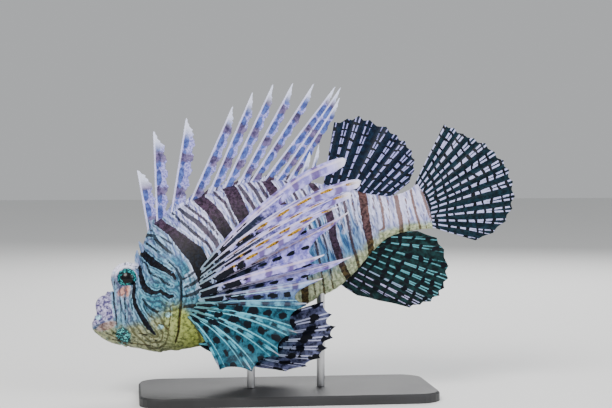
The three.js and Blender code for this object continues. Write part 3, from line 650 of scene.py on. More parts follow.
soft_dorsal = {"root": [[165.6, 36.3], [203.6, 16]],
               "lean": [62, 57.5, 54.5, 50.5, 42, 36.5, 33, 28, 25, 22, 20],
               "length": [44, 48, 51.5, 50.5, 50, 47.5, 45.5, 41.5, 36, 28.5, 18]}
caudal = {"root": [[221.5, 18], [222.8, -8.6]],
          "lean": [45.5, 39, 33, 27, 21.5, 15.5, 10, 5.5, 0, -7, -12.5, -19, -26.5, -35],
          "length": [47, 49.5, 51, 54.5, 58.5, 60.5, 63, 63.5, 63, 61.5, 58, 52.5, 44, 32.5]}
anal = {"root": [[155.3, -25.3], [196.1, -4.3]],
        "lean": [-51.5, -49.5, -46.5, -45.5, -44.5, -42.5, -40.5, -37.5, -33, -25, -19, -15.5],
        "length": [15, 28, 46.5, 50.5, 54.5, 56.5, 56, 54.5, 50.5, 43.5, 35.5, 20]}
pectoral = {"root": [[67.5, 5], [56.5, -16.5]], "w": 20, "sink": 4,
            "lean": [32.5, 25.5, 19.5, 15, 11, 5, 0, -5.5, -11.5, -17.5, -24, -34, -44, -66],
            "turn": [-22, -25, -16, -10, -3, 4, -7, 0, 2, -5, -19, -25, -36, -25],
            "length": [115, 120, 112, 103, 87, 109, 86, 103, 83, 73, 70, 64, 55, 40],
            "out": [38, 40, 42, 44, 45, 46, 46, 46, 45, 44, 42, 39, 34, 26]}
pelvic = {"root": [[60.5, -32.5], [58, -35.5]], "w": 9, "sink": 3,
          "lean": [-2, -12, -16, -20, -26, -32, -36.5, -41, -48], "turn": [1, 9, 7, 6, 10, 13, 12, 10, 18],
          "length": [83, 86.5, 87, 85, 82.5, 78.5, 70, 58, 43], "out": [22, 23, 23, 24, 24, 24, 24, 23, 22]}
far_pectoral = dict(pectoral, lean=[14 - 32 * i / 13 for i in range(14)], turn=[-4] * 14,
                    length=[0.84 * (108 - 38 * i / 13) for i in range(14)], out=[34] * 14)
far_pelvic = dict(pelvic, length=[v * 0.84 for v in pelvic["length"]], out=[v * 0.8 for v in pelvic["out"]])

# %% [markdown]
# ## Webbed fins
# The soft dorsal, tail, anal and pelvic fins are sheets with rays in them. Such a fin starts as a flat
# grid. Its columns go to the rays and to the web between them, and its upper edge dips between the rays.
# Solidify gives the thickness, and a vertex group makes the rays stand up from the thin web. Near the
# edge each ray splits in two, so the raised line splits with it.

# %% A webbed fin
def grid(across, rows):
    """A flat grid with the column and the row, from 0 to 1, of each of its points."""
    bpy.ops.mesh.primitive_grid_add(x_subdivisions=across, y_subdivisions=rows, size=2)
    obj = bpy.context.object
    x, y, _ = vertex_points(obj).T
    return obj, (x + 1) / 2, (y + 1) / 2


def solidified(obj, thickness, weights):
    group = obj.vertex_groups.new(name="raised")
    for k, value in enumerate(weights):
        group.add([k], float(value), "REPLACE")
    bpy.context.view_layer.objects.active = obj
    obj.select_set(True)
    thick = obj.modifiers.new("Thickness", "SOLIDIFY")
    thick.thickness = thickness
    thick.offset = 0
    thick.vertex_group = "raised"
    thick.thickness_vertex_group = 0.0
    thick.use_even_offset = False
    bpy.ops.object.modifier_apply(modifier="Thickness")
    tidy(obj)


def web_fin(name, fin, flank=1, rows=54, per=10, dip=0.06, start=-0.06, stops=None, wave=0.8, split=0.5,
            thick=1.5):
    """A sheet between rays: stops are the shares of the rays that the web reaches, else it reaches the tips."""
    count = len(fin["lean"])
    across = (count - 1) * per
    obj, column, row = grid(across, rows)
    i, j = np.rint(column * across).astype(int), np.rint(row * rows).astype(int)
    t = np.linspace(0, 1, 161) * (1 - start) + start
    rays = fin_rays(fin, t, flank)
    x = np.arange(across + 1) / per
    lo = np.minimum(x.astype(int), count - 2)
    f = (x - lo)[:, None, None]
    sheet = rays[lo] * (1 - f) + rays[lo + 1] * f
    saw = np.abs(x - np.rint(x)) * 2
    if stops is None:
        edge = 1 - dip * saw**0.8
    else:
        stops = np.asarray(stops, float)
        ends = np.concatenate([[stops[0]], np.maximum(stops[1:], stops[:-1]), [stops[-1]]])
        ends = np.minimum(ends + dip, 0.985)
        ray_end = ends[lo] * (1 - (x - lo)) + ends[lo + 1] * (x - lo)
        edge = stops[lo] + (ray_end - stops[lo]) * np.abs(2 * (x - lo) - 1) ** 2.6
    table = np.empty((across + 1, rows + 1, 3))
    share = np.empty((across + 1, rows + 1))
    for c in range(across + 1):
        goal = start + (edge[c] - start) * np.linspace(0, 1, rows + 1) ** 0.94
        share[c] = goal
        for k in range(3):
            table[c, :, k] = np.interp(goal, t, sheet[c, :, k])
    fold = np.where(lo % 2 == 0, 1, -1) * np.sin(math.pi * (x - lo)) * wave
    table[:, :, 2] += fold[:, None] * ease(share, 0.05, 0.7)
    lengths = np.interp(x, np.arange(count), fin["length"])
    spacing = np.linalg.norm(np.gradient(sheet, axis=0), axis=2)
    gap = np.array([np.interp(share[c], t, spacing[c]) * per for c in range(across + 1)])
    fork = 0.17 * ease(share, split, 1.0)
    near = np.abs(x - np.rint(x))[:, None] * np.ones_like(share)
    distance = np.abs(near - fork) * gap
    place = table[i, j]
    move_to(obj, posed_all(place))
    along_mm = share * lengths[:, None]
    number = x[:, None] * np.ones_like(share)
    paint(obj, "fish", place)
    paint(obj, "ray", np.stack([distance, along_mm, number], -1)[i, j])
    paint(obj, "share", share[i, j])
    paint(obj, "from_ray", (near * gap)[i, j])
    paint(obj, "from_web", ((0.5 - near) * gap)[i, j])
    weight = (0.2 + 0.8 * hill(distance, 0.42)) * (1 - 0.55 * np.clip(share, 0, 1))
    solidified(obj, thick / 1000, weight[i, j])
    obj.name = obj.data.name = name
    return obj


fin_soft = web_fin("soft_dorsal_web", soft_dorsal, dip=0.04, wave=0.7, split=0.2)
fin_tail = web_fin("tail_web", caudal, dip=0.03, wave=0.9, split=0.35)
fin_anal = web_fin("anal_web", anal, dip=0.035, wave=0.7, split=0.12)
pelvic_stops = [0.94, 0.92, 0.95, 0.92, 0.94, 0.93, 0.95, 0.93]
fin_pelvic_left = web_fin("pelvic_web_left", pelvic, 1, rows=70, per=14, dip=0.03, wave=1.5, start=-0.03,
                          stops=pelvic_stops, split=0.3)
fin_pelvic_right = web_fin("pelvic_web_right", far_pelvic, -1, rows=60, per=12, dip=0.03, wave=1.3,
                           start=-0.03, stops=pelvic_stops, split=0.3)
print("tail web", len(fin_tail.data.polygons), "faces")


# %% [markdown]
# ## The long rays of the pectoral fins
# The pectoral fin is the lionfish's fan. A web joins its rays for most of their length, only their ends
# are free, and each carries a ribbon of skin. The upper rays have the widest ribbons and rounded tips. A
# ray is a flattened tube: the stiff shaft is the thick part near its leading edge and the ribbon is the
# thin part behind it. The ribbon's free edge runs in lobes.

# %% A ray with its ribbon
def ribbon(name, line, ahead, behind, shaft, side_way, length, number, t):
    """A flattened tube along a line: thick at the shaft, thin where the ribbon is."""
    way = np.gradient(line, axis=0)
    way /= np.linalg.norm(way, axis=1, keepdims=True)
    flat_way = side_way - way * (side_way * way).sum(1, keepdims=True)
    flat_way /= np.linalg.norm(flat_way, axis=1, keepdims=True)
    up_way = np.cross(way, flat_way)
    phi = circle(22)
    q = -np.cos(phi)
    half = (behind + ahead) / 2
    centre = (behind - ahead) / 2
    offset = centre[:, None] + half[:, None] * q[None]
    body = hill(offset, np.maximum(shaft, 0.2)[:, None]) * shaft[:, None]
    film = 0.2 * np.sqrt(np.clip(1 - q**2, 0, 1))[None] + 0.03
    height = np.sign(np.sin(phi))[None] * np.where(np.abs(np.sin(phi)) < 1e-6, 0, 1)[None] * (body + film)
    camber = -0.05 * offset**2 / np.maximum(half, 0.5)[:, None]
    points = (line[:, None] + flat_way[:, None] * offset[..., None]
              + up_way[:, None] * (height + camber)[..., None])
    points[0], points[-1] = line[0], line[-1]
    share = t[:, None] + 0 * offset
    marks = {"fish": points, "ribbon": np.stack([offset, share * length, number + 0 * offset], -1),
             "share": share, "tip": length * (1 - share)}
    return ring_form(name, posed_all(points), marks)


full_width = [4.1, 3.7, 3.6, 3.5, 3.3, 3.1, 2.9, 2.9, 2.4, 1.8, 1.5, 1.3, 1.1, 1.0]
tip_bend = [[7.0, -3.6], [2.4, -2.6], [1.5, -2.0], [0, -1.5], [0, 1.2], [0, 1.5], [0, 1.5]]


def fan_fin(name, fin, flank):
    t = np.linspace(-0.03, 1, 76)
    rays = fin_rays(fin, t, flank)
    count = len(rays)
    parts = []
    for i in range(count):
        side = rays[min(i + 1, count - 1)] - rays[max(i - 1, 0)]
        length = fin["length"][i]
        full = full_width[i]
        foot_wide = min(full, 1.9)
        wide = foot_wide + (full - foot_wide) * np.sin(math.pi * np.clip(t, 0, 1) ** 0.9) ** 0.8
        close = 1 - ease(t, 0.8, 1.0) * 0.8
        hook = tip_bend[min(i, 6)] + [0.0]
        rays[i] = rays[i] + np.outer(np.clip((t - 0.74) / 0.26, 0, 1) ** 2, hook)
        if i < 3:
            wide = foot_wide + (full - foot_wide) * ease(t, 0.02, 0.4)
            close = np.sqrt(np.clip(1 - np.clip((t - 0.93) / 0.075, 0, 1) ** 2, 0.02, 1))
        lobes = 1 + 0.08 * np.sin(t * length * 2 * math.pi / 17 + i * 1.7) + 0.04 * np.sin(t * length * 1.3 + i)
        ahead = wide * (0.55 if i < 9 else 0.8) * close
        behind = wide * (1.35 if i < 9 else 0.9) * lobes * close
        shaft = 0.95 * (1 - 0.62 * np.clip(t, 0, 1))
        parts.append(ribbon("ray", rays[i], ahead, behind, shaft, side, length, i, t))
    return joined(name, parts)


rays_left = fan_fin("pectoral_rays_left", pectoral, 1)
rays_right = fan_fin("pectoral_rays_right", far_pectoral, -1)
reach_web = [0.6, 0.78, 0.86, 0.85, 0.82, 0.82, 0.82, 0.8, 0.84, 0.88, 0.9, 0.92, 0.93]
web_left = web_fin("pectoral_web_left", pectoral, 1, rows=64, per=10, dip=0.12, start=-0.03, stops=reach_web,
                   wave=1.0, split=2, thick=1.3)
web_right = web_fin("pectoral_web_right", far_pectoral, -1, rows=56, per=8, dip=0.12, start=-0.03,
                    stops=reach_web, wave=1.0, split=2, thick=1.3)
print("pectoral rays", len(rays_left.data.polygons), "faces, web", len(web_left.data.polygons))

# %% [markdown]
# ## The venomous spines of the back
# Thirteen stiff spines stand on the back, each with a ribbon behind it. The spine itself is the thick
# leading edge. The ribbon is widest in the middle, its rear edge is uneven, and it closes to a narrow
# tip. The low web between the spines is a piece of its own.

# %% Spines and their low web
dorsal_spines = [
    [49.3, 43.3, 82.5, 41, 5.0], [55.3, 44.1, 74.5, 63.5, 5.2], [65.5, 47.7, 63.5, 66.5, 5.6],
    [78.4, 51.2, 48.5, 72.5, 5.4], [91.2, 52.2, 49, 77, 5.2], [102.2, 53.5, 47, 79, 5],
    [110.9, 52.2, 44, 80.5, 4.8], [119.2, 52, 39.5, 81, 4.4], [127.1, 50.1, 35, 82.5, 4.2],
    [135.6, 47.9, 37.5, 78.5, 3.8], [143.4, 46, 40, 67.5, 3.4], [149.9, 42.9, 50.5, 24, 2.4],
    [156.1, 40.1, 56, 29, 1.8],
]


def spine_parts():
    parts = []
    for i, (s, u, lean, length, banner) in enumerate(dorsal_spines):
        a = math.radians(lean)
        t = np.linspace(-0.06, 1, 70)
        s1, u1 = bent((s, u), lean, 0, length, t)
        line = np.stack([s1, u1, 0.35 * np.sin(t * 3 + i) * t], -1)
        side = np.tile([math.sin(a), -math.cos(a), 0.0], (len(t), 1))
        swell = 0.72 + 0.28 * np.sin(math.pi * np.clip(t, 0, 1))
        lobes = 1 + 0.1 * np.sin(t * length * 2 * math.pi / 9 + i * 2.1) + 0.05 * np.sin(t * length * 1.9 + i)
        ragged = np.where(t > 0.84, 1 + 0.1 * np.sin(t * length * 2.1 + i), 1)
        close = 1 - ease(t, 0.8, 1.02) * 0.86
        behind = banner * (1.55 if i < 3 else 1.25) * swell * lobes * ragged * close - 0.4
        ahead = 0.62 * (1 - 0.4 * t)
        shaft = 0.9 * (1 - 0.6 * np.clip(t, 0, 1))
        parts.append(ribbon("spine", line, ahead, behind, shaft, side, length, i, t))
    return parts


def low_web():
    count = len(dorsal_spines)
    per, rows = 12, 14
    obj, x, v = grid((count - 1) * per, rows)
    x = x * (count - 1)
    lo = np.minimum(x.astype(int), count - 2)
    f = x - lo
    table = np.array(dorsal_spines)
    a, b = table[lo], table[lo + 1]
    high = 6.4 + 5.2 * np.abs(2 * f - 1) ** 2.4
    t = -3.0 + (high + 3.0) * v

    def at(row):
        angle_row = np.radians(row[:, 2])
        return row[:, 0] + np.cos(angle_row) * t, row[:, 1] + np.sin(angle_row) * t

    s0, u0 = at(a)
    s1, u1 = at(b)
    s, u = s0 * (1 - f) + s1 * f, u0 * (1 - f) + u1 * f
    w = 0.5 * np.sin(math.pi * f) * np.where(lo % 2 == 0, 1, -1) * v
    move_to(obj, posed(s, u, w))
    paint(obj, "fish", np.stack([s, u, w], -1))
    for key, stripes in (("band", bands), ("thin", lines_and_gill_shadow)):
        paint(obj, key, depth_inside(s - t * 0.45, np.minimum(u, along(s, 1)), stripes))
    paint(obj, "rise", np.full(len(t), 0.95))
    edge = np.minimum(f, 1 - f) * np.hypot(b[:, 0] - a[:, 0], b[:, 1] - a[:, 1])
    solidified(obj, 0.0012, 0.45 + 0.55 * hill(edge, 0.8))
    return obj


fin_spiny = joined("spiny_dorsal_ribbons", spine_parts())
web_spiny = low_web()
web_spiny.name = web_spiny.data.name = "spiny_dorsal_web"
print("spiny dorsal", len(fin_spiny.data.polygons), "faces")

# %% [markdown]
# ## Building materials from nodes
# Every material is drawn from nodes. A field is the output of a node, and it can be added or multiplied
# like a number, which adds one more node. A few short helpers do the rest, so that a material below
# reads as a list of paints. Shared effects are node groups: one gives a stripe its wandering edge, and
# one gives skin its fine grain.

# %% Fields
class Field:
    """A node's output that reads like a number, so that a + b or a * b adds a node."""

    def __init__(self, socket):
        self.socket, self.tree = socket, socket.id_data

    __add__ = __radd__ = lambda self, other: calc("ADD", self, other)
    __sub__ = lambda self, other: calc("SUBTRACT", self, other)
    __rsub__ = lambda self, other: calc("SUBTRACT", other, self)
    __mul__ = lambda self, other: calc("MULTIPLY", self, other)
    __truediv__ = lambda self, other: calc("DIVIDE", self, other)
    __pow__ = lambda self, other: calc("POWER", self, other)
    __abs__ = lambda self: calc("ABSOLUTE", self)


def feed(socket, value):
    if isinstance(value, Field):
        value.tree.links.new(value.socket, socket)
    elif isinstance(value, (tuple, list)) and len(value) == 3 and socket.type == "RGBA":
        socket.default_value = (*value, 1)
    else:
        socket.default_value = value


def put(tree, kind, inputs=None, **settings):
    made = tree.nodes.new(kind)
    for key, value in settings.items():
        setattr(made, key, value)
    for key, value in (inputs or {}).items():
        feed(made.inputs[key], value)
    return made


def calc(operation, a, b=0.0, clamp=False):
    tree = a.tree if isinstance(a, Field) else b.tree
    return Field(put(tree, "ShaderNodeMath", {0: a, 1: b}, operation=operation, use_clamp=clamp).outputs[0])


# %% Node helpers
def blend(factor, a, b):
    """Colour a where the factor is 0 and colour b where it is 1."""
    made = put(factor.tree, "ShaderNodeMix", data_type="RGBA", blend_type="MIX", clamp_factor=True)
    for key, value in (("Factor", factor), (6, a), (7, b)):
        feed(made.inputs[key], value)
    return Field(made.outputs[2])


def rising(value, low, high):
    """0 at low and 1 at high, with a soft start and end."""
    marks = {0: value, 1: low, 2: high, 3: 0.0, 4: 1.0}
    return Field(put(value.tree, "ShaderNodeMapRange", marks, interpolation_type="SMOOTHSTEP").outputs[0])


def ramp(value, low, high, a, b):
    return blend(rising(value, low, high), a, b)


def clouds(vector, scale, detail, roughness=0.55):
    shape = {"Scale": scale, "Detail": detail, "Roughness": roughness, "Vector": vector}
    return Field(put(vector.tree, "ShaderNodeTexNoise", shape).outputs["Fac"])


def stretch(vector, size, turn_by=(0, 0, 0)):
    made = put(vector.tree, "ShaderNodeMapping", {"Vector": vector, "Scale": size, "Rotation": turn_by})
    return Field(made.outputs["Vector"])


def stored(tree, name):
    """What a piece stores at its points under this name: a place or a single number."""
    made = put(tree, "ShaderNodeAttribute", attribute_name=name, attribute_type="GEOMETRY")
    return Field(made.outputs["Vector" if name in ("fish", "look", "ray", "ribbon") else "Fac"])


def parts_of(vector):
    return [Field(out) for out in put(vector.tree, "ShaderNodeSeparateXYZ", {"Vector": vector}).outputs]


def new_material(name, **sockets):
    material = bpy.data.materials.new(name)
    material.use_nodes = True
    tree = material.node_tree
    shader = tree.nodes["Principled BSDF"]
    for key, value in sockets.items():
        shader.inputs[key.replace("_", " ")].default_value = value
    return material, tree, shader


def new_group(name, inputs, outputs):
    tree = bpy.data.node_groups.new(name, "ShaderNodeTree")
    for label, kind in inputs:
        tree.interface.new_socket(name=label, in_out="INPUT", socket_type=kind)
    for label, kind in outputs:
        tree.interface.new_socket(name=label, in_out="OUTPUT", socket_type=kind)
    coming_in = {out.name: Field(out) for out in tree.nodes.new("NodeGroupInput").outputs}
    return tree, coming_in, tree.nodes.new("NodeGroupOutput").inputs


def use_group(group, inputs):
    made = inputs["Vector"].tree.nodes.new("ShaderNodeGroup")
    made.node_tree = group
    for key, value in inputs.items():
        feed(made.inputs[key], value)
    return {out.name: Field(out) for out in made.outputs}


# %% Shared effects
number, arrow = "NodeSocketFloat", "NodeSocketVector"
edge_group, gi, go = new_group("wandering_edge", [("Vector", arrow), ("Depth", number), ("Wander", number),
                                                  ("Scale", number), ("Soft", number)], [("Mask", number)])
shake = clouds(gi["Vector"], gi["Scale"], 2.5) - 0.5
feed(go["Mask"], rising((gi["Depth"] + shake * gi["Wander"]) / gi["Soft"], -0.5, 0.5))

grain_group, gi, go = new_group("fine_grain", [("Vector", arrow), ("Scale", number)],
                                [("Height", number), ("Speck", number)])
cells = put(grain_group, "ShaderNodeTexVoronoi", {"Vector": gi["Vector"], "Scale": gi["Scale"]},
            feature="SMOOTH_F1")
fine = clouds(gi["Vector"], gi["Scale"] * 1.7, 4.0, 0.65)
feed(go["Height"], Field(cells.outputs["Distance"]) * 0.7 + fine)
feed(go["Speck"], rising(fine, 0.5, 0.68))
print("node groups", [g.name for g in bpy.data.node_groups])


def edged(vector, depth, wander, scale, soft):
    """1 inside a shape and 0 outside it, with an edge that wanders like a hand-drawn line."""
    return use_group(edge_group, {"Vector": vector, "Depth": depth, "Wander": wander, "Scale": scale,
                                  "Soft": soft})["Mask"]


def satin(name, shine, *names):
    """A satin material with its shader and the stored fields that it reads."""
    material, tree, shader = new_material(name, Coat_Weight=0.03, Coat_Roughness=0.3, Specular_IOR_Level=shine)
    return material, shader, *(stored(tree, key) for key in names)


def complete(shader, colour, roughness, height, strength=0.25, distance=0.0003):
    """Ends a material: its colour, its roughness and the relief of a height field."""
    feed(shader.inputs["Base Color"], colour)
    feed(shader.inputs["Roughness"], roughness)
    made = put(height.tree, "ShaderNodeBump", {"Height": height, "Strength": strength, "Distance": distance})
    feed(shader.inputs["Normal"], Field(made.outputs["Normal"]))


# %% [markdown]
# ## The painted skin
# A museum painter would lay down the ground colours first, then the bands, then the fine lines. The
# ground is lavender white on the back, blue on the flank and the head, and yellow green below. The bands
# are purple brown on the back, nearly black on the head, olive on the belly and copper on the tail
# stalk, with a pale rim. The finish is satin, with only a faint clear coat.

# %% Skin ground colours
skin_mat, shader, fish, band_depth, thin_depth, rise_at = satin("lionfish_skin", 0.12, "fish", "band", "thin",
                                                                "rise")
at_s, at_u, _ = parts_of(fish)
streak = clouds(stretch(fish, (0.62, 0.13, 0.13), (0, 0, 0.35)), 1.0, 4.0, 0.6)
mottle = clouds(fish, 0.45, 5.0, 0.62)
blotch = clouds(fish, 0.16, 3.0, 0.5)
grain = use_group(grain_group, {"Vector": fish, "Scale": 1.1})
head_way = rising(at_s, 78.0, 46.0)
drift = (blotch - 0.5) * 0.6
high = rising(rise_at + drift, 0.22, 0.8)
low = rising(rise_at - head_way * 0.44 + drift, -0.42, -0.82)
flank_blue = ramp(streak, 0.36, 0.62, (0.015, 0.07, 0.2), (0.12, 0.34, 0.62))
head_blue = ramp(mottle, 0.38, 0.62, (0.005, 0.04, 0.065), (0.05, 0.24, 0.33))
ground = blend(head_way, flank_blue, head_blue)
pale = ramp(streak, 0.36, 0.58, (0.08, 0.08, 0.27), (0.37, 0.38, 0.72))
ground = blend(high * (1.0 - head_way * 0.5), ground, pale)
belly_way = rising(mottle, 0.34, 0.62)
belly = blend(belly_way, (0.07, 0.09, 0.012), (0.36, 0.42, 0.09))
belly = blend(rising(at_s, 58.0, 30.0), belly, blend(belly_way, (0.05, 0.06, 0.03), (0.34, 0.36, 0.2)))
belly = blend(rising(at_s, 95.0, 135.0), belly, blend(belly_way, (0.16, 0.2, 0.1), (0.55, 0.6, 0.38)))
ground = blend(low, ground, belly)
rear_way = rising(at_s, 165.0, 200.0)
silver = ramp(streak, 0.34, 0.58, (0.18, 0.19, 0.4), (0.6, 0.58, 0.84))
ground = blend(calc("MULTIPLY", rear_way, 0.9 - low, clamp=True), ground, silver)
print("ground colours laid")

# %% Snout, eye stalk and teal patch
snout = rising(at_s, 21.0, 12.0)
lavender = ramp(mottle, 0.4, 0.62, (0.04, 0.03, 0.12), (0.5, 0.46, 0.68))
ground = blend(snout * rising(at_u, -7.5, -1.0), ground, lavender)
stalk_here = rising(at_s, 14.0, 18.0) * rising(at_s, 31.0, 27.0) * rising(at_u, -13.0, -5.0)
lilac = ramp(mottle, 0.38, 0.62, (0.05, 0.06, 0.12), (0.27, 0.3, 0.44))
ground = blend(stalk_here * 0.85, ground, lilac)


def oval(centre, radii, soft=0.35):
    """1 inside an oval of the side view and 0 outside it."""
    a = ((at_s - centre[0]) / radii[0]) ** 2.0
    b = ((at_u - centre[1]) / radii[1]) ** 2.0
    return rising(a + b, 1.0 + soft, 1.0 - soft)


ground = blend(oval((67.0, -3.0), (12.0, 19.0), 0.5) * 0.9, ground, head_blue)
salmon = ramp(mottle, 0.36, 0.62, (0.26, 0.085, 0.055), (0.62, 0.3, 0.22))
ground = blend(oval((24.2, 10.4), (5.4, 3.4)) * 0.9, ground, salmon)
lip = ramp(mottle, 0.36, 0.62, (0.12, 0.06, 0.045), (0.42, 0.28, 0.23))
ground = blend(oval((6.2, -6.4), (7.0, 2.6)) * 0.8, ground, lip)
lid_pale = oval((27.4, 21.5), (9.6, 8.4)) * rising(at_u, 21.0, 24.5)
ground = blend(lid_pale * 0.85, ground, (0.8, 0.78, 0.95))
teal = ramp(clouds(fish, 0.85, 3.0, 0.6), 0.51, 0.58, (0.004, 0.02, 0.03), (0.1, 0.5, 0.48))
ground = blend(oval((14.2, -15.6), (4.6, 5.6)), ground, teal)
spot_noise = 0.25 + rising(mottle, 0.42, 0.54) * 0.75
for spot in ((38.2, -17.6), (45.0, -12.0), (2.8, 0.6), (55.0, 17.0)):
    ground = blend(oval(spot, (1.9, 1.5), 0.7) * spot_noise, ground, (0.36, 0.74, 0.86))

# %% Rims, bands and lines
rim_noise = rising(streak, 0.36, 0.56)
rim_mask = rising(band_depth, -2.4, -1.4) * rising(rise_at, -0.7, 0.0) * (0.97 - head_way * 0.4)
rim_colour = blend(head_way, (0.7, 0.71, 0.98), (0.22, 0.54, 0.74))
ground = blend(rim_mask * rim_noise, ground, rim_colour)
thin_rim = rising(thin_depth, -1.6, -0.6) * rising(rise_at, -0.5, 0.2) * (0.85 - head_way * 0.3)
ground = blend(thin_rim * rim_noise, ground, rim_colour)
hair = calc("SINE", band_depth * 1.9 + blotch * 7.0)
hair_mask = rising(hair, 0.0, 0.7) * rising(mottle, 0.34, 0.48)
ground = blend(hair_mask * (0.4 + head_way * 0.4), ground,
               blend(low, (0.012, 0.03, 0.06), (0.045, 0.04, 0.008)))
band_mask = edged(fish, band_depth, 1.5, 0.5, 0.45)
line_and_gill_shadow_mask = edged(fish, thin_depth, 1.1, 0.6, 0.45)
purple = ramp(mottle, 0.35, 0.65, (0.008, 0.004, 0.009), (0.06, 0.032, 0.062))
purple = blend(grain["Speck"] * 0.15, purple, (0.2, 0.16, 0.3))
black = ramp(mottle, 0.45, 0.7, (0.001, 0.001, 0.003), (0.007, 0.012, 0.025))
olive = ramp(mottle, 0.4, 0.62, (0.014, 0.01, 0.003), (0.09, 0.062, 0.008))
dark = ramp(rise_at, 0.3, 0.8, black, purple)
dark = ramp(at_s, 120.0, 150.0, dark, purple)
copper = ramp(mottle, 0.4, 0.62, (0.035, 0.014, 0.01), (0.17, 0.085, 0.06))
dark = blend(rear_way * 0.85, dark, copper)
dark = blend(head_way * rising(at_u, 44.0, 34.0), dark, black)
low_part = low * 0.8
dark = blend(low_part * rising(at_s, 60.0, 100.0), dark, olive)
brown = ramp(mottle, 0.4, 0.62, (0.009, 0.005, 0.009), (0.052, 0.027, 0.042))
brown = blend(rear_way * 0.9, brown, blend(mottle, (0.06, 0.03, 0.02), (0.3, 0.17, 0.13)))
brown = ramp(at_s, 86.0, 72.0, brown, black)
brown = blend(low_part, brown, olive)
ground = blend(grain["Speck"] * 0.08, ground, (0.8, 0.85, 0.95))
# The thin lines painted here include the painted shadow line behind the gill cover's edge.
colour = blend(line_and_gill_shadow_mask * 0.92, ground, brown)
colour = blend(band_mask, colour, dark)
complete(shader, colour, 0.3 + mottle * 0.3, grain["Height"], 0.4, 0.0004)
for obj in (skin, lid_left, lid_right, spikes_left, spikes_right):
    obj.data.materials.append(skin_mat)

# %% [markdown]
# ## The eye's paint
# The pupil is black and the iris is dark teal with turquoise flecks. A black bar crosses the eye towards
# the cheek, and the ball is pale above and salmon below. A weak clear coat stands for the wet front.

# %% Eye material
eye_mat, tree, shader = new_material("lionfish_eye", Roughness=0.3, Coat_Weight=0.2, Coat_Roughness=0.05,
                                     Specular_IOR_Level=0.15)
look = stored(tree, "look")
across, up, _ = parts_of(look)
wide = calc("SQRT", across ** 2.0 + up ** 2.0)
flecks = clouds(look, 0.9, 5.0, 0.7)
iris = ramp(flecks, 0.48, 0.62, (0.001, 0.014, 0.02), (0.03, 0.46, 0.46))
below = rising(up, -3.6, -5.4)
white = blend(below, (0.62, 0.64, 0.84), (0.6, 0.22, 0.2))
paint_eye = ramp(wide, 5.9, 6.5, iris, white)
bar_depth = 1.5 - abs(across + up * 0.42 - 0.9)
bar_depth = calc("MINIMUM", bar_depth, 0.5 - up)
paint_eye = blend(edged(look, bar_depth, 1.0, 0.8, 0.4), paint_eye, (0.002, 0.003, 0.005))
pupil_mask = edged(look, 3.5 - wide, 0.5, 0.6, 0.25)
paint_eye = blend(pupil_mask, paint_eye, (0.001, 0.001, 0.002))
feed(shader.inputs["Base Color"], paint_eye)
for obj in (eye_left, eye_right):
    obj.data.materials.append(eye_mat)

# %% [markdown]
# ## The webbed fins' paint
# The web is a deep blue green, and the rays are lavender white lines broken by rows of black dots. The
# dots are a pattern along each ray, nearly level from ray to ray, so they line up in arcs. Near the edge
# each ray forks, and the stored distance runs to the nearer branch. On the anal fin the dots are larger
# and reach over the web, and its first rays are lavender while the others are teal. One function paints
# the soft dorsal, tail and anal fins, with colours and sizes of its own for each. The pelvic fins and the
# webs of the pectoral fins differ more, so each has its own material. In all of them off is the distance
# from the ray, way the distance along it, and ray_no the number of the ray.

# %% Dots along a ray
def dashes(along_way, every, shift):
    """Millimetres from the nearest of the dots that repeat along a ray."""
    return abs(calc("FRACT", along_way / every + shift) - 0.5) * every


def dot_at(a, half_a, b, half_b):
    """Above zero inside an oval with the half sizes half_a and half_b."""
    return 1.0 - ((a / half_a) ** 2.0 + (b / half_b) ** 2.0)


def webbed(name, deep, lit, ray_colour, line_half, dot_every, dot_long, dot_wide, over_web=False,
           pale_foot=None, first_rays=None):
    material, shader, fish, ray, share, from_ray = satin(name, 0.1, "fish", "ray", "share", "from_ray")
    off, way, ray_no = parts_of(ray)
    mottle, drift = clouds(fish, 0.35, 5.0, 0.6), clouds(fish, 0.09, 2.0, 0.5)
    grain = use_group(grain_group, {"Vector": fish, "Scale": 1.6})
    web = ramp(mottle, 0.38, 0.68, deep, lit)
    if first_rays:
        ray_colour = ramp(ray_no, 5.0, 3.0, ray_colour, first_rays)
    line = edged(fish, line_half - off, 0.45, 0.8, 0.3)
    colour = blend(line * 0.95, web, ray_colour)
    saw = dashes(way, dot_every, drift * 1.6 + ray_no * 0.11)
    dot = dot_at(saw, dot_long, from_ray if over_web else off, dot_wide)
    colour = blend(edged(fish, dot, 0.7, 0.6, 0.5), colour, (0.002, 0.003, 0.006))
    if pale_foot:
        colour = ramp(share, 0.09, 0.02, colour, pale_foot)
    complete(shader, colour, 0.34 + mottle * 0.3, grain["Height"])
    return material


soft_mat = webbed("soft_dorsal_skin", (0.001, 0.004, 0.012), (0.003, 0.014, 0.035), (0.36, 0.36, 0.74), 0.46,
                  6.2, 0.9, 1.0)
tail_mat = webbed("tail_skin", (0.001, 0.006, 0.01), (0.004, 0.022, 0.035), (0.48, 0.49, 0.8), 0.58, 6.0,
                  1.0, 1.15, pale_foot=(0.62, 0.6, 0.78))
anal_mat = webbed("anal_skin", (0.001, 0.005, 0.006), (0.006, 0.03, 0.032), (0.1, 0.33, 0.38), 0.4, 8.0,
                  1.5, 2.2, over_web=True, first_rays=(0.46, 0.44, 0.72))
print("webbed materials", [m.name for m in (soft_mat, tail_mat, anal_mat)])

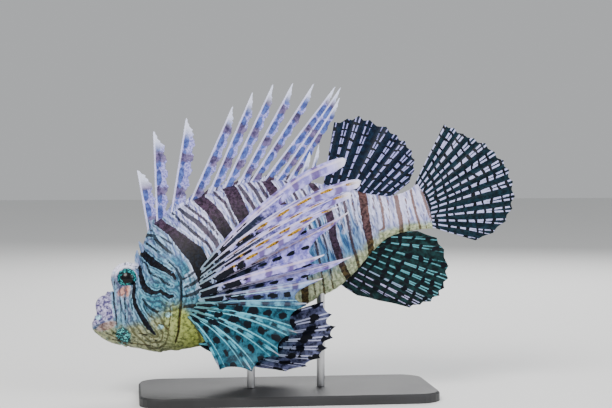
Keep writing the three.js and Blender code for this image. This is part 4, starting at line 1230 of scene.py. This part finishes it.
# %% Pelvic fin material
pelvic_mat, shader, fish, ray, share, from_ray = satin("pelvic_skin", 0.1, "fish", "ray", "share", "from_ray")
off, way, ray_no = parts_of(ray)
mottle = clouds(fish, 0.3, 5.0, 0.6)
grain = use_group(grain_group, {"Vector": fish, "Scale": 1.6})
outer = rising(share, 0.35, 0.8)
web_deep = blend(outer, (0.002, 0.02, 0.035), (0.012, 0.015, 0.035))
web_lit = blend(outer, (0.015, 0.13, 0.19), (0.13, 0.14, 0.27))
web = ramp(mottle, 0.36, 0.66, web_deep, web_lit)
line = edged(fish, 0.44 - off, 0.4, 0.8, 0.3)
colour = blend(line, web, blend(outer, (0.12, 0.42, 0.52), (0.58, 0.6, 0.86)))
saw = dashes(way, 15.0, mottle * 0.9 + ray_no * 0.23)
blotches = edged(fish, dot_at(saw, 4.0, from_ray, 3.0), 2.8, 0.17, 0.35)
colour = blend(blotches, colour, (0.003, 0.004, 0.008))
complete(shader, colour, 0.34 + mottle * 0.3, grain["Height"])

# %% Pectoral web material
web_mat, shader, fish, ray, share, from_web = satin("pectoral_web_skin", 0.1, "fish", "ray", "share",
                                                    "from_web")
off, way, ray_no = parts_of(ray)
mottle, patchy = clouds(fish, 0.3, 5.0, 0.6), clouds(fish, 0.1, 2.0, 0.5)
grain = use_group(grain_group, {"Vector": fish, "Scale": 1.6})
lower = rising(ray_no, 6.5, 9.5)
upper_web = ramp(mottle, 0.36, 0.66, (0.11, 0.1, 0.38), (0.37, 0.34, 0.76))
lower_web = ramp(mottle, 0.36, 0.66, (0.003, 0.022, 0.038), (0.02, 0.13, 0.19))
web = blend(lower, upper_web, lower_web)
inner = rising(share + (mottle - 0.5) * 0.4, 0.6, 0.42)
web = blend(inner * (0.95 - lower * 0.6), web, (0.004, 0.01, 0.016))
line = edged(fish, 0.6 - off, 0.5, 0.7, 0.4)
colour = blend(line, web, blend(lower, (0.58, 0.54, 0.8), (0.14, 0.46, 0.58)))
saw = dashes(way, 9.5, mottle * 0.8 + ray_no * 0.2)
dot = dot_at(saw, 2.8, from_web, 2.1) - rising(ray_no, 4.5, 3.0) * 2.0 + (patchy - 0.48) * 2.4
colour = blend(edged(fish, dot, 1.8, 0.35, 0.4), colour, (0.002, 0.004, 0.008))
complete(shader, colour, 0.34 + mottle * 0.3, grain["Height"])
for obj, material in ((fin_soft, soft_mat), (fin_tail, tail_mat), (fin_anal, anal_mat),
                      (fin_pelvic_left, pelvic_mat), (fin_pelvic_right, pelvic_mat), (web_left, web_mat),
                      (web_right, web_mat)):
    obj.data.materials.append(material)

# %% [markdown]
# ## The ribbons' paint
# The ribbons of the long rays are lavender white with soft violet bars and a pinkish shaft. Near the
# body they are greenish, with dark streaks behind the shaft. The rays below the first carry ochre dashes
# on their shafts, and the lower rays turn to teal.

# %% Long ray material
ray_mat, shader, fish, ribbon_at, share, tip = satin("long_ray_skin", 0.12, "fish", "ribbon", "share", "tip")
off, way, ray_no = parts_of(ribbon_at)
mottle = clouds(fish, 0.2, 4.0, 0.55)
fine = clouds(fish, 0.9, 4.0, 0.6)
grain = use_group(grain_group, {"Vector": fish, "Scale": 1.5})
lower = rising(ray_no, 6.5, 9.5)
pale = ramp(mottle, 0.36, 0.6, (0.2, 0.18, 0.52), (0.44, 0.4, 0.82))
teal = ramp(mottle, 0.36, 0.64, (0.006, 0.07, 0.11), (0.09, 0.38, 0.5))
base = blend(lower, pale, teal)
shift = ray_no * 0.43 + ((mottle - 0.5) * 0.35 + 0.2)
bow = way + off ** 2.0 * 0.06
violet_mask = edged(fish, 2.0 - dashes(bow, 13.6, shift), 2.0, 0.4, 1.8)
violet = blend(lower, (0.09, 0.05, 0.2), (0.003, 0.008, 0.014))
colour = blend(violet_mask * (0.85 + lower * 0.1), base, violet)
shaft_line = rising(abs(off), 0.95, 0.4)
colour = blend(shaft_line * (0.45 - lower * 0.45), colour, (0.8, 0.66, 0.78))
print("long ray ground laid")

# %% Ochre dashes, dark foot and pale tips
foot_green = rising(share, 0.34, 0.1) * 0.7
colour = blend(foot_green, colour, blend(fine, (0.03, 0.12, 0.12), (0.2, 0.42, 0.42)))
ochre_saw = dashes(way, 15.0, shift + ray_no * 0.2)
ochre_depth = dot_at(ochre_saw, 4.6, off - 0.7, 0.9)
ochre_mask = edged(fish, ochre_depth, 1.7, 0.5, 0.5)
which = rising(ray_no, 0.3, 0.7) * rising(ray_no, 5.6, 4.6) * rising(share, 0.22, 0.34)
ochre = ramp(fine, 0.4, 0.6, (0.07, 0.03, 0.002), (0.5, 0.29, 0.015))
colour = blend(ochre_mask * which, colour, ochre)
foot_saw = dashes(way, 15.0, ray_no * 0.37 + mottle)
foot = calc("MINIMUM", (0.42 - share) * 20.0, 6.2 - foot_saw)
foot = calc("MINIMUM", foot, (off - 0.25) * 2.0)
colour = blend(edged(fish, foot, 2.2, 0.4, 0.6), colour, (0.004, 0.005, 0.01))
tip_here = rising(tip, 9.0, 1.0) * (0.8 - lower * 0.4)
colour = blend(tip_here, colour, (0.8, 0.78, 0.95))
complete(shader, colour, 0.32 + fine * 0.3, grain["Height"])
for obj in (rays_left, rays_right):
    obj.data.materials.append(ray_mat)

# %% [markdown]
# ## The spines' paint
# A back spine's ribbon is lavender with blue blocks and a pale leading edge. A few soft plum bands cross
# it, and its tip is nearly white. The low web between the spines has the material of the skin, so the
# bands of the back run on in it.

# %% Spine material
spine_mat, shader, fish, ribbon_at, tip = satin("spine_skin", 0.12, "fish", "ribbon", "tip")
off, way, ray_no = parts_of(ribbon_at)
mottle = clouds(fish, 0.3, 4.0, 0.6)
fine = clouds(fish, 0.9, 4.0, 0.6)
grain = use_group(grain_group, {"Vector": fish, "Scale": 1.4})
blue = ramp(mottle, 0.36, 0.64, (0.012, 0.025, 0.14), (0.06, 0.11, 0.38))
lavender = ramp(fine, 0.36, 0.62, (0.12, 0.12, 0.38), (0.36, 0.35, 0.72))
saw = dashes(way, 11.0, ray_no * 0.31 + mottle * 0.5)
block = dot_at(saw, 5.2, off - 2.3, 1.9)
colour = blend(edged(fish, block, 1.5, 0.45, 0.5) * 0.92, lavender, blue)
saw = dashes(way, 23.0, ray_no * 0.27 + mottle * 0.4)
spine_band = edged(fish, 3.0 - saw, 2.4, 0.5, 1.6)
plum = ramp(mottle, 0.36, 0.64, (0.03, 0.015, 0.035), (0.14, 0.085, 0.16))
colour = blend(spine_band * 0.75, colour, plum)
edge_line = rising(abs(off), 0.95, 0.5)
colour = blend(edge_line * 0.7, colour, (0.66, 0.66, 0.92))
colour = blend(rising(tip, 15.0, 5.0) * 0.85, colour, (0.72, 0.76, 0.95))
complete(shader, colour, 0.35 + fine * 0.3, grain["Height"])
fin_spiny.data.materials.append(spine_mat)
web_spiny.data.materials.append(skin_mat)

# %% [markdown]
# ## The stand
# The plate and the two rods keep the shapes of the frame. The plate is painted wood in matt black, with
# a fine orange peel and faint smudges. The rods are brushed steel.

# %% Stand materials
plate_mat, tree, shader = new_material("matt_black_lacquer", Coat_Weight=0.1, Coat_Roughness=0.4)
place = Field(put(tree, "ShaderNodeTexCoord").outputs["Object"])
peel = clouds(place, 900.0, 3.0, 0.5)
smudge = clouds(place, 18.0, 4.0, 0.6)
tone = ramp(smudge, 0.35, 0.7, (0.01, 0.01, 0.011), (0.022, 0.022, 0.024))
complete(shader, tone, 0.42 + smudge * 0.25, peel, 0.3, 0.0002)
rod_mat, tree, shader = new_material("brushed_steel", Metallic=1.0)
place = Field(put(tree, "ShaderNodeTexCoord").outputs["Object"])
brush = clouds(stretch(place, (1500.0, 1500.0, 60.0)), 1.0, 3.0, 0.6)
complete(shader, blend(brush, (0.42, 0.42, 0.43), (0.66, 0.66, 0.67)), 0.22 + brush * 0.2, brush, 0.2, 0.0001)
for name, material in (("stand_base", plate_mat), ("stand_rod_front", rod_mat),
                       ("stand_rod_rear", rod_mat)):
    node_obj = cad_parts[name]
    node_obj.data.materials.clear()
    node_obj.data.materials.append(material)

# %% [markdown]
# ## Which piece stands for which solid
# Each dressed piece rides on the one body of the model, and the solids that it replaces, named beside it
# in the table, are hidden.

# %% Riding and replacing
roles = [
    (skin, skin_nodes, "skin"), (lid_left, [], "skin"), (lid_right, [], "skin"),
    (spikes_left, [], "skin"), (spikes_right, [], "skin"),
    (eye_left, ["eye_left"], "eye"), (eye_right, ["eye_right"], "eye"),
    (fin_spiny, ["spiny_dorsal_fin"], "spine"), (web_spiny, ["spiny_dorsal_fin"], "spine"),
    (fin_soft, ["soft_dorsal_fin"], "fin"),
    (fin_tail, ["caudal_fin"], "fin"), (fin_anal, ["anal_fin"], "fin"),
    (rays_left, ["pectoral_fin_left"], "long_fin"), (rays_right, ["pectoral_fin_right"], "long_fin"),
    (web_left, ["pectoral_fin_left"], "long_fin"), (web_right, ["pectoral_fin_right"], "long_fin"),
    (fin_pelvic_left, ["pelvic_fin_left"], "long_fin"),
    (fin_pelvic_right, ["pelvic_fin_right"], "long_fin"),
]
for piece, nodes, slot in roles:
    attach(piece, "root")
    if nodes:
        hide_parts(*nodes)
print(len(roles), "pieces,", sum(len(p.data.polygons) for p, _, _ in roles), "faces")

# %% [markdown]
# ## Floor and light
# The model stands on a plain pale floor. One large soft light hangs above and in front, a second fills
# from the right, and a third from behind lifts the edges of the fins off the background.

# %% Floor, lights and world
bpy.ops.mesh.primitive_plane_add(size=8, location=(0, 0, 0))
floor = bpy.context.object
floor.name = "floor"
floor_mat, tree, shader = new_material("pale_floor", Roughness=0.85)
shader.inputs["Base Color"].default_value = (0.78, 0.78, 0.77, 1)
floor.data.materials.append(floor_mat)


def soft_light(place, size, power, colour=(1, 1, 1)):
    bpy.ops.object.light_add(type="AREA", location=place)
    lamp = bpy.context.object
    lamp.data.size = size
    lamp.data.energy = power
    lamp.data.color = colour
    aim_way = np.array([0.0, 0.0, 0.1]) - np.array(place)
    flat_way = math.hypot(aim_way[0], aim_way[1])
    lamp.rotation_euler = (math.atan2(flat_way, -aim_way[2]), 0, math.atan2(-aim_way[0], aim_way[1]))
    return lamp


soft_light((-0.5, -0.9, 1.0), 0.6, 22, (1, 0.98, 0.96))
soft_light((0.9, -0.6, 0.6), 0.8, 8, (0.95, 0.97, 1))
soft_light((0.3, 0.9, 0.8), 0.8, 12)
world = bpy.data.worlds.new("studio")
bpy.context.scene.world = world
world.use_nodes = True
sky = world.node_tree.nodes["Background"].inputs
sky["Color"].default_value = (0.86, 0.88, 0.9, 1)
sky["Strength"].default_value = 0.55
